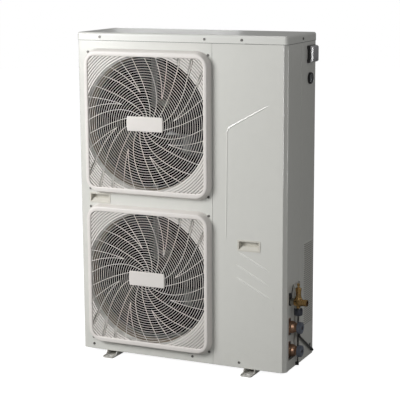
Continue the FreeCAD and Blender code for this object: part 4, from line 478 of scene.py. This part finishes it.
# ---------------------------------------------------------------- front grilles
def grille(name, level, node):
    cx, cz = FAN_X, level
    y_back, y_front = -158.75, -185.8
    # frame: draft outside, soft outer and inner edges, returned lip, hollow behind
    prof = [
        (554.0, 582.0, 60.0, 0.0), (553.0, 581.0, 59.5, 1.2), (549.5, 577.5, 58.5, 7.0), (544.0, 572.0, 57.0, 16.0), (539.0, 567.0, 55.0, 22.6),
        (536.6, 564.6, 54.0, 25.0), (533.2, 561.2, 52.6, 26.5), (529.0, 556.0, 51.0, 27.05), (516.0, 537.0, 39.0, 27.05), (510.4, 530.4, 34.6, 26.9),
        (507.4, 527.4, 32.4, 26.1), (506.2, 526.2, 31.4, 24.6), (505.6, 525.6, 31.0, 19.0), (505.4, 525.4, 30.9, 13.6), (508.2, 528.2, 32.3, 13.6),
        (508.8, 528.8, 32.6, 22.8), (514.0, 534.0, 37.0, 24.3), (528.0, 554.0, 50.0, 24.3), (534.8, 562.8, 53.0, 22.2), (540.0, 568.0, 55.0, 15.0), (550.0, 578.0, 57.6, 0.0)]
    g = Mesh()
    loops = []
    for w, h, r, out in prof:
        loops.append([(cx + x, y_back - out, cz + z) for x, z in round_rect(w, h, r, 10)])
    g.loft(loops, around=True, along=True)
    half_w, half_h, rad = 253.0 + 1.6, 263.0 + 1.6, 32.0

    def inside(x, z, grow=0.0):
        hw, hh = half_w + grow, half_h + grow
        if abs(x) > hw or abs(z) > hh:
            return False
        dx, dz = abs(x) - (hw - rad), abs(z) - (hh - rad)
        return not (dx > 0 and dz > 0 and dx * dx + dz * dz > rad * rad)

    ring_y = {False: -180.9, True: -179.6}
    bar = oval(0.9, 1.15, 12, 4.0)
    wide_bar = oval(3.25, 2.7, 12, 5.0)
    swirl = 27.0

    def angle(end, r):
        return end - swirl * math.log(266.0 / r)

    # deep ribs that carry a few spokes on across two of the corners
    rib_lines = []
    for end in (34.4, 45.7, 56.9, 214.4, 225.7, 236.9):
        line = []
        r = 270.0
        while r < 372.0:
            a = math.radians(angle(end, r))
            q = (r * math.cos(a), r * math.sin(a))
            if not inside(q[0], q[1], -0.5):
                break
            line.append(q)
            r += 6.0
        if len(line) > 3:
            rib_lines.append(line)

    def clear_of_ribs(x, z):
        return all((x - q[0]) ** 2 + (z - q[1]) ** 2 > 32.0 for line in rib_lines for q in line)

    # concentric rings, cut off where they run into the frame and where a rib crosses them
    for i in range(-3, 33):
        r = 62.0 + 9.75 * i
        outer = r > 268.0
        section = wide_bar if outer else bar
        n = max(48, int(r * (1.9 if outer else 0.62)) * 2)
        pts = [(r * math.cos(2 * math.pi * k / n), r * math.sin(2 * math.pi * k / n)) for k in range(n)]
        ok = [inside(*p) and (not outer or clear_of_ribs(*p)) for p in pts]
        if all(ok):
            g.ribbon([(cx + x, cz + z) for x, z in pts], section, closed=True, base=ring_y[outer])
            continue
        if not any(ok):
            continue
        start = next(k for k in range(n) if not ok[k] and ok[(k + 1) % n])
        run = []
        for k in range(1, n + 1):
            j = (start + k) % n
            if ok[j]:
                run.append(pts[j])
            if run and (not ok[j] or k == n):
                if len(run) > 2:
                    step = 4 if outer else 1
                    keep = run[::step] if (len(run) - 1) % step == 0 else run[::step] + [run[-1]]
                    g.ribbon([(cx + x, cz + z) for x, z in keep], section, base=ring_y[outer])
                run = []
    for line in rib_lines:
        g.ribbon([(cx + x, cz + z) for x, z in line], [(-1.2, 0.0), (1.2, 0.0), (1.5, -12.0), (-1.5, -12.0)], base=-177.6)

    # spokes: sixteen from the middle, eight pairs that start on one ring further out
    spoke = oval(1.1, 1.5, 10, 3.5)
    spoke_y = -180.9

    def lay(fun, r0):
        pts = []
        r = r0
        while r < 287.0:
            a = math.radians(fun(r))
            p = (r * math.cos(a), r * math.sin(a))
            if not inside(*p):
                break
            pts.append((cx + p[0], cz + p[1]))
            r += 7.0 if r > 60 else 4.0
        g.ribbon(pts, spoke, base=spoke_y)

    for j in range(8):
        mid = 6.3 + 45.0 * j
        for s in (-1, 1):
            lay(lambda r, m=mid, q=s: angle(m, max(r, 40.0)) + q * (5.6 + 5.65 * max(0.0, min(1.0, (266.0 - r) / 150.0))), 24.0)
        pair = 28.8 + 45.0 * j
        for s in (-1, 1):
            lay(lambda r, m=pair, q=s: angle(m, r) + q * 5.6 * min(1.25, ((r - 126.0) / 140.0) ** 0.8 if r > 126.0 else 0.0), 126.0)
    # blank centre plate with a soft edge
    loops = []
    for w, h, r, y in ((153.0, 54.0, 2.5, -180.0), (157.0, 58.0, 4.0, -180.6), (157.0, 58.0, 4.0, -184.2), (156.2, 57.2, 3.7, -185.0), (154.6, 55.6, 3.2, -185.35), (150.0, 51.0, 2.0, -185.4)):
        loops.append([(cx + x, y, cz + z) for x, z in round_rect(w, h, r, 6)])
    g.loft(loops, cap=True)
    return g.make(name, CREAM, "chassis", stands_for=(node,), angle=38.0)


grille("upper_grille_moulding", FAN_UP, "upper_grille")
grille("lower_grille_moulding", FAN_LO, "lower_grille")


# ---------------------------------------------------------------- pressed lines of the service panel
def crease(path, wide, out):
    """Points along a pressed bead's path, about 12 mm apart."""
    dense = []
    for (x0, z0), (x1, z1) in zip(path, path[1:]):
        n = max(2, int(math.hypot(x1 - x0, z1 - z0) / 12.0))
        for k in range(n):
            dense.append((x0 + (x1 - x0) * k / n, z0 + (z1 - z0) * k / n))
    dense.append(path[-1])
    return dense


def bead(mesh, path, wide, out, fade=26.0):
    pts = crease(path, wide, out)
    total, acc = 0.0, [0.0]
    for a, b in zip(pts, pts[1:]):
        total += math.hypot(b[0] - a[0], b[1] - a[1])
        acc.append(total)
    scales = []
    for s in acc:
        e = min(s, total - s) / fade
        scales.append(max(0.12, min(1.0, e)) ** 0.7)
    section = [(-wide / 2, -0.35)] + [(wide / 2 * math.sin(t), out * (0.5 + 0.5 * math.cos(math.pi * math.sin(t)))) for t in
                                      [math.radians(a) for a in (-90, -60, -40, -22, -8, 8, 22, 40, 60, 90)]] + [(wide / 2, -0.35)]
    mesh.ribbon(pts, section, base=-158.45, scales=scales)


def at(x, z):
    return (x - 440.0, z + 20.0)


beads = Mesh()
bead(beads, [at(829, 1047), at(672, 960), at(660, 951), at(654, 938), at(648, 513)], 9.0, 1.5)
bead(beads, [at(848.5, 273), at(848.5, 240)], 6.0, 1.2, 10.0)
beads.make("service_panel_pressing", CASING, "service_cover", angle=60.0)
# ridges in the lighter coat: painted highlight along the pressing
ridges = Mesh()
bead(ridges, [(262.0, 488.0), (391.0, 420.5)], 9.5, 3.4, 22.0)
bead(ridges, [(250.0, 439.0), (389.0, 364.0)], 9.5, 3.4, 22.0)
bead(ridges, [(250.0, 389.0), (398.0, 310.5)], 9.5, 3.4, 22.0)
ridges.make("service_panel_ridges", PRESSED_PAINTED_HIGHLIGHT, "service_cover", angle=60.0)

# rolled flats along the two folds of the corner, a hair proud of the sheet
flats = Mesh()
for cx, cy, turn, wide in ((442.43, -153.5, 32.6, 2.6), (453.5, -142.43, 65.3, 3.2)):
    nx, ny = math.sin(math.radians(turn)), -math.cos(math.radians(turn))
    rings = []
    for z, k in ((24.0, 0.3), (27.0, 0.85), (34.0, 1.0), (1281.0, 1.0), (1288.0, 0.85), (1291.0, 0.3)):
        rings.append([(cx + nx * (4.5 + (o - 4.5) * (k if o > 4.6 else 1.0)) - ny * a * wide, cy + ny * (4.5 + (o - 4.5) * (k if o > 4.6 else 1.0)) + nx * a * wide, z)
                      for a, o in ((-0.62, 4.5), (-0.58, 5.1), (-0.5, 5.27), (0.5, 5.27), (0.58, 5.1), (0.62, 4.5))])
    flats.loft(rings, cap=True)
flats.make("service_panel_fold_flats", CASING, "service_cover", angle=25.0)

# ---------------------------------------------------------------- louvre hoods on the side panel
hoods = Mesh()
for k in range(40):
    z = 166.8 + 8.4 * k
    loops = []
    for y, sc in ((38.6, 0.05), (39.6, 0.55), (41.6, 0.9), (45.0, 1.0), (128.0, 1.0), (131.4, 0.9), (133.4, 0.55), (134.4, 0.05)):
        sec = []
        for zz, out in ((6.4, 0.0), (5.6, 0.9), (4.4, 2.6), (3.0, 4.2), (1.6, 4.8), (0.9, 4.5), (0.9, 3.6), (2.4, 3.0), (3.4, 1.8), (4.0, 0.4), (4.2, -0.6), (6.4, -0.6)):
            sec.append((458.5 + (out * sc if out > 0 else out), y, z + zz))
        loops.append(sec)
    hoods.loft(loops, cap=True)
hoods.make("side_louvre_hoods", LOUVRE_PAINTED_SHADOW, "chassis", angle=40.0)

# ---------------------------------------------------------------- coil fins
fins = Mesh()


def coil_path():
    """Outer line of the coil: left leg up to the corner, then along the back."""
    xl, yb, dep, rad = -433.5, 150.0, 29.0, 80.0
    pts = []
    y = -110.5
    while y < yb - rad:
        pts.append(((xl, y), (xl + dep, y)))
        y += 3.2
    n = 36
    cx, cy = xl + rad, yb - rad
    for k in range(n + 1):
        a = math.radians(180.0 - 90.0 * k / n)
        pts.append(((cx + rad * math.cos(a), cy + rad * math.sin(a)), (cx + (rad - dep) * math.cos(a), cy + (rad - dep) * math.sin(a))))
    x = cx + 3.2
    while x < 140.5:
        pts.append(((x, yb), (x, yb - dep)))
        x += 3.2
    return pts


for (xo, yo), (xi, yi) in coil_path():
    dx, dy = xi - xo, yi - yo
    d = math.hypot(dx, dy)
    nx, ny = -dy / d * 0.16, dx / d * 0.16
    ox, oy = dx / d * 0.9, dy / d * 0.9
    lo, hi = 47.0, 1283.0
    sec = [(xo - ox + nx, yo - oy + ny), (xi + ox + nx, yi + oy + ny), (xi + ox - nx, yi + oy - ny), (xo - ox - nx, yo - oy - ny)]
    fins.loft([[(x, y, lo) for x, y in sec], [(x, y, hi) for x, y in sec]], cap=True)
fins.make("coil_fin_pack", FINS, "chassis", angle=30.0)

# ---------------------------------------------------------------- isolator cover: hollow shell with soft edges, on its hinge barrel
def cover_loop(x, inset, rad):
    y0, y1, z0, z1 = 62.4 + inset, 130.6 - inset, 1214.0 + inset, 1278.0 - inset
    return [(x, (y0 + y1) / 2 + a, (z0 + z1) / 2 + b) for a, b in round_rect(y1 - y0, z1 - z0, rad, 8)]


shell = Mesh()
shell.loft([cover_loop(x, inset, rad) for x, inset, rad in (
    (467.85, 0.3, 4.6), (468.1, 0.05, 4.8), (468.6, 0.0, 4.8), (473.4, 0.1, 4.8), (474.2, 0.35, 4.7), (474.5, 0.52, 4.6), (479.6, 3.5, 3.6), (479.95, 3.9, 3.5),
    (480.3, 4.9, 3.2), (480.5, 6.6, 2.8), (480.5, 20.0, 1.5), (478.9, 20.0, 1.5), (478.9, 7.0, 2.4), (478.5, 5.4, 2.8), (477.4, 4.2, 3.2), (474.0, 2.2, 3.6), (468.6, 1.8, 3.8), (467.85, 1.6, 3.9))],
    around=True, along=False)
for x, flip in ((480.5, False), (478.9, True)):
    lp = cover_loop(x, 20.0, 1.5)
    base = len(shell.v)
    shell.v.extend(lp)
    shell.f.append(tuple(base + i for i in (range(len(lp)) if flip else reversed(range(len(lp))))))
first, last, per = 0, 17, 36
for j in range(per):
    k = (j + 1) % per
    shell.f.append((last * per + j, last * per + k, first * per + k, first * per + j))
barrel = Mesh()
barrel.turned([(-18.0, 1.6), (-18.0, 2.4), (-17.8, 2.6), (17.8, 2.6), (18.0, 2.4), (18.0, 1.6), (-18.0, 1.6)], (469.12, 56.6, 1246.0), "Z", 28, close=False)
barrel.loft([[(469.8, y, z), (471.4, y, z), (471.4, y, z + 34.8), (469.8, y, z + 34.8)] for y, z in ((56.6, 1228.6), (63.0, 1228.6))], cap=True)
barrel.make("isolator_cover_barrel", SWITCH, "isolator_lid", angle=38.0)
shell.make("isolator_cover_shell", ISOLATOR_PAINTED_HIGHLIGHT, "isolator_lid", stands_for=("isolator_cover",), angle=14.0)

# soft washers seated in the couplings' ends
washers = Mesh()
for level in (88.0, 183.0):
    washers.turned([(0.0, 8.6), (0.0, 14.6), (0.5, 15.1), (1.9, 15.1), (2.4, 14.6), (2.4, 8.6), (1.2, 8.2), (0.0, 8.6)], (489.2, -60.0, level), "X", 40, close=False)
washers.make("coupling_washers", RING, "chassis", angle=40.0)

# pale dial behind the gauge's window, with raised marks
dial = Mesh()
dial.turned([(0.0, 3.2), (0.0, 16.2), (0.25, 16.4), (0.45, 16.0), (0.45, 3.2), (0.0, 3.2)], (461.02, 85.0, 1152.0), "X", 48, close=False)
for k in range(28):
    a = math.radians(-45.0 + 270.0 * k / 27)
    c, sn = math.cos(a), math.sin(a)
    r0, r1, w = (11.6 if k % 3 == 0 else 13.3), 15.1, (0.42 if k % 3 == 0 else 0.24)
    ring = [(85.0 + c * r - sn * t, 1152.0 + sn * r + c * t) for r, t in ((r0, -w), (r1, -w), (r1, w), (r0, w))]
    dial.loft([[(461.4, y, z) for y, z in ring], [(461.62, y, z) for y, z in ring]], cap=True)
dial.make("gauge_dial", DIAL, "chassis", angle=30.0)

# ---------------------------------------------------------------- held hose and cable as smooth lines
def smooth_line(name, runs, radius, look, node, order=3):
    cu = bpy.data.curves.new(name, "CURVE")
    cu.dimensions = "3D"
    widest = max(radius) if isinstance(radius, list) else radius
    cu.bevel_depth = widest * MM
    cu.bevel_resolution = 6
    cu.resolution_u = 10
    cu.use_fill_caps = True
    for i, pts in enumerate(runs):
        sp = cu.splines.new("NURBS")
        sp.points.add(len(pts) - 1)
        for p, q in zip(sp.points, pts):
            p.co = (q[0] * MM, q[1] * MM, q[2] * MM, 1)
            p.radius = radius[i] / widest if isinstance(radius, list) else 1.0
        sp.order_u = order
        sp.use_endpoint_u = True
    cu.materials.append(look)
    o = bpy.data.objects.new(name, cu)
    scene.collection.objects.link(o)
    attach(o, "chassis")
    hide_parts(node)
    return o


smooth_line("drain_hose_line", [[(437.0, -24.0, 166.0), (446.0, -24.0, 166.0), (454.4, -24.0, 163.4), (460.2, -23.6, 154.8), (463.4, -23.4, 145.6), (464.4, -21.6, 137.4), (464.6, -14.6, 130.8), (464.6, 2.0, 120.2), (464.6, 60.0, 83.6), (464.6, 132.0, 38.0)]], 5.4, HOSE, "drain_hose")
smooth_line("sensor_cable_line", [
    [(437.0, -35.0, 270.0), (446.0, -35.0, 270.0), (455.0, -35.2, 267.0), (460.4, -35.6, 258.6), (463.6, -35.9, 250.0), (464.0, -36.0, 238.0), (464.0, -36.0, 170.0), (464.0, -36.0, 90.0), (464.0, -36.0, 30.0)],
    [(443.0, -59.0, 302.0), (443.0, -46.0, 327.2), (443.0, -34.4, 349.6), (443.0, -31.2, 357.0), (443.0, -31.0, 366.0)]], [2.4, 1.8], SHEATH, "sensor_cable")

# ---------------------------------------------------------------- floor, light and camera
def floor_material(name, rgb, glow):
    s = Shade(name, rgb, 0.8, specular=0.1)
    s.mottle(1.3, tuple(c * 0.99 for c in rgb), 0.5)
    s.sh.inputs["Emission Color"].default_value = (1.0, 1.0, 1.0, 1)
    s.sh.inputs["Emission Strength"].default_value = glow
    return s.done()


def sheet_mesh(name, size, seg, z, look):
    bm = bmesh.new()
    rows = []
    for i in range(seg + 1):
        rows.append([bm.verts.new((-size / 2 + size * j / seg, -size / 2 + size * i / seg, z)) for j in range(seg + 1)])
    for i in range(seg):
        for j in range(seg):
            bm.faces.new((rows[i][j], rows[i][j + 1], rows[i + 1][j + 1], rows[i + 1][j]))
    me = bpy.data.meshes.new(name)
    bm.to_mesh(me)
    bm.free()
    me.materials.append(look)
    o = bpy.data.objects.new(name, me)
    scene.collection.objects.link(o)
    o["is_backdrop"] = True
    return o


# the floor that is seen, and a duller one just under it that the light bounces from
seen = sheet_mesh("studio_floor", 30.0, 6, -0.0006, floor_material("floor_seen", (0.42, 0.42, 0.42), 0.95))
seen.visible_diffuse = seen.visible_glossy = seen.visible_transmission = seen.visible_shadow = False
bounce = sheet_mesh("studio_bounce", 30.0, 6, -0.0010, floor_material("floor_bounce", (0.26, 0.26, 0.255), 0.0))
bounce.visible_camera = False

# pale backdrop all round, seen but giving no light
bm = bmesh.new()
bmesh.ops.create_icosphere(bm, subdivisions=4, radius=14.0)
dm = bpy.data.meshes.new("studio_backdrop")
bm.to_mesh(dm)
bm.free()
dm.materials.append(floor_material("backdrop", (0.0, 0.0, 0.0), 1.0))
dome = bpy.data.objects.new("studio_backdrop", dm)
scene.collection.objects.link(dome)
dome.visible_diffuse = dome.visible_glossy = dome.visible_transmission = dome.visible_shadow = False
dome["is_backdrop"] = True

world = bpy.data.worlds.new("studio_world")
scene.world = world
world.use_nodes = True
bg = world.node_tree.nodes["Background"]
bg.inputs["Color"].default_value = (1.0, 1.0, 1.0, 1)
bg.inputs["Strength"].default_value = 0.158


def area(name, loc, target, size_x, size_y, power, colour=(1, 1, 1)):
    ld = bpy.data.lights.new(name, "AREA")
    ld.shape = "RECTANGLE"
    ld.size, ld.size_y = size_x, size_y
    ld.energy = power
    ld.color = colour
    lo = bpy.data.objects.new(name, ld)
    scene.collection.objects.link(lo)
    lo.location = loc
    lo.visible_camera = False
    lo.rotation_mode = "QUATERNION"
    lo.rotation_quaternion = (Vector(target) - Vector(loc)).to_track_quat("-Z", "Y")
    return lo


area("key_light", (-2.2, -2.45, 1.8), (0.0, 0.0, 0.66), 1.5, 1.5, 106.0)
area("top_light", (-0.3, 0.3, 3.6), (0.0, 0.0, 0.6), 1.6, 1.2, 14.0)
area("corner_strip", (2.25, -2.0, 1.3), (0.45, -0.16, 0.9), 0.16, 2.0, 14.0)
area("edge_strip", (2.75, 0.68, 1.35), (0.46, -0.1, 0.9), 0.06, 2.3, 3.2)
area("lid_glow", (-1.52, 3.0, 1.56), (0.0, 0.0, 1.32), 0.8, 0.35, 1.85)

cam_data = bpy.data.cameras.new("photo_camera")
cam = bpy.data.objects.new("photo_camera", cam_data)
scene.collection.objects.link(cam)
cam_data.sensor_width = 36.0
cam_data.lens = 118.19
cam_data.clip_start, cam_data.clip_end = 0.1, 60.0
yaw, pitch, roll = 0.43401662833677687, -0.18582552514143888, -0.005705661413173621
fwd = Vector((-math.sin(yaw) * math.cos(pitch), math.cos(yaw) * math.cos(pitch), math.sin(pitch)))
right = fwd.cross(Vector((0, 0, 1))).normalized()
up = right.cross(fwd)
r2 = right * math.cos(roll) + up * math.sin(roll)
u2 = up * math.cos(roll) - right * math.sin(roll)
cam.rotation_mode = "QUATERNION"
cam.rotation_quaternion = Matrix((r2, u2, -fwd)).transposed().to_quaternion()
cam.location = (2.2216, -4.7417, 1.6329)
scene.camera = cam

scene.view_settings.view_transform = "Standard"
scene.view_settings.look = "None"
scene.view_settings.exposure = 0.0
scene.view_settings.gamma = 1.0

lo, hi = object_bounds()
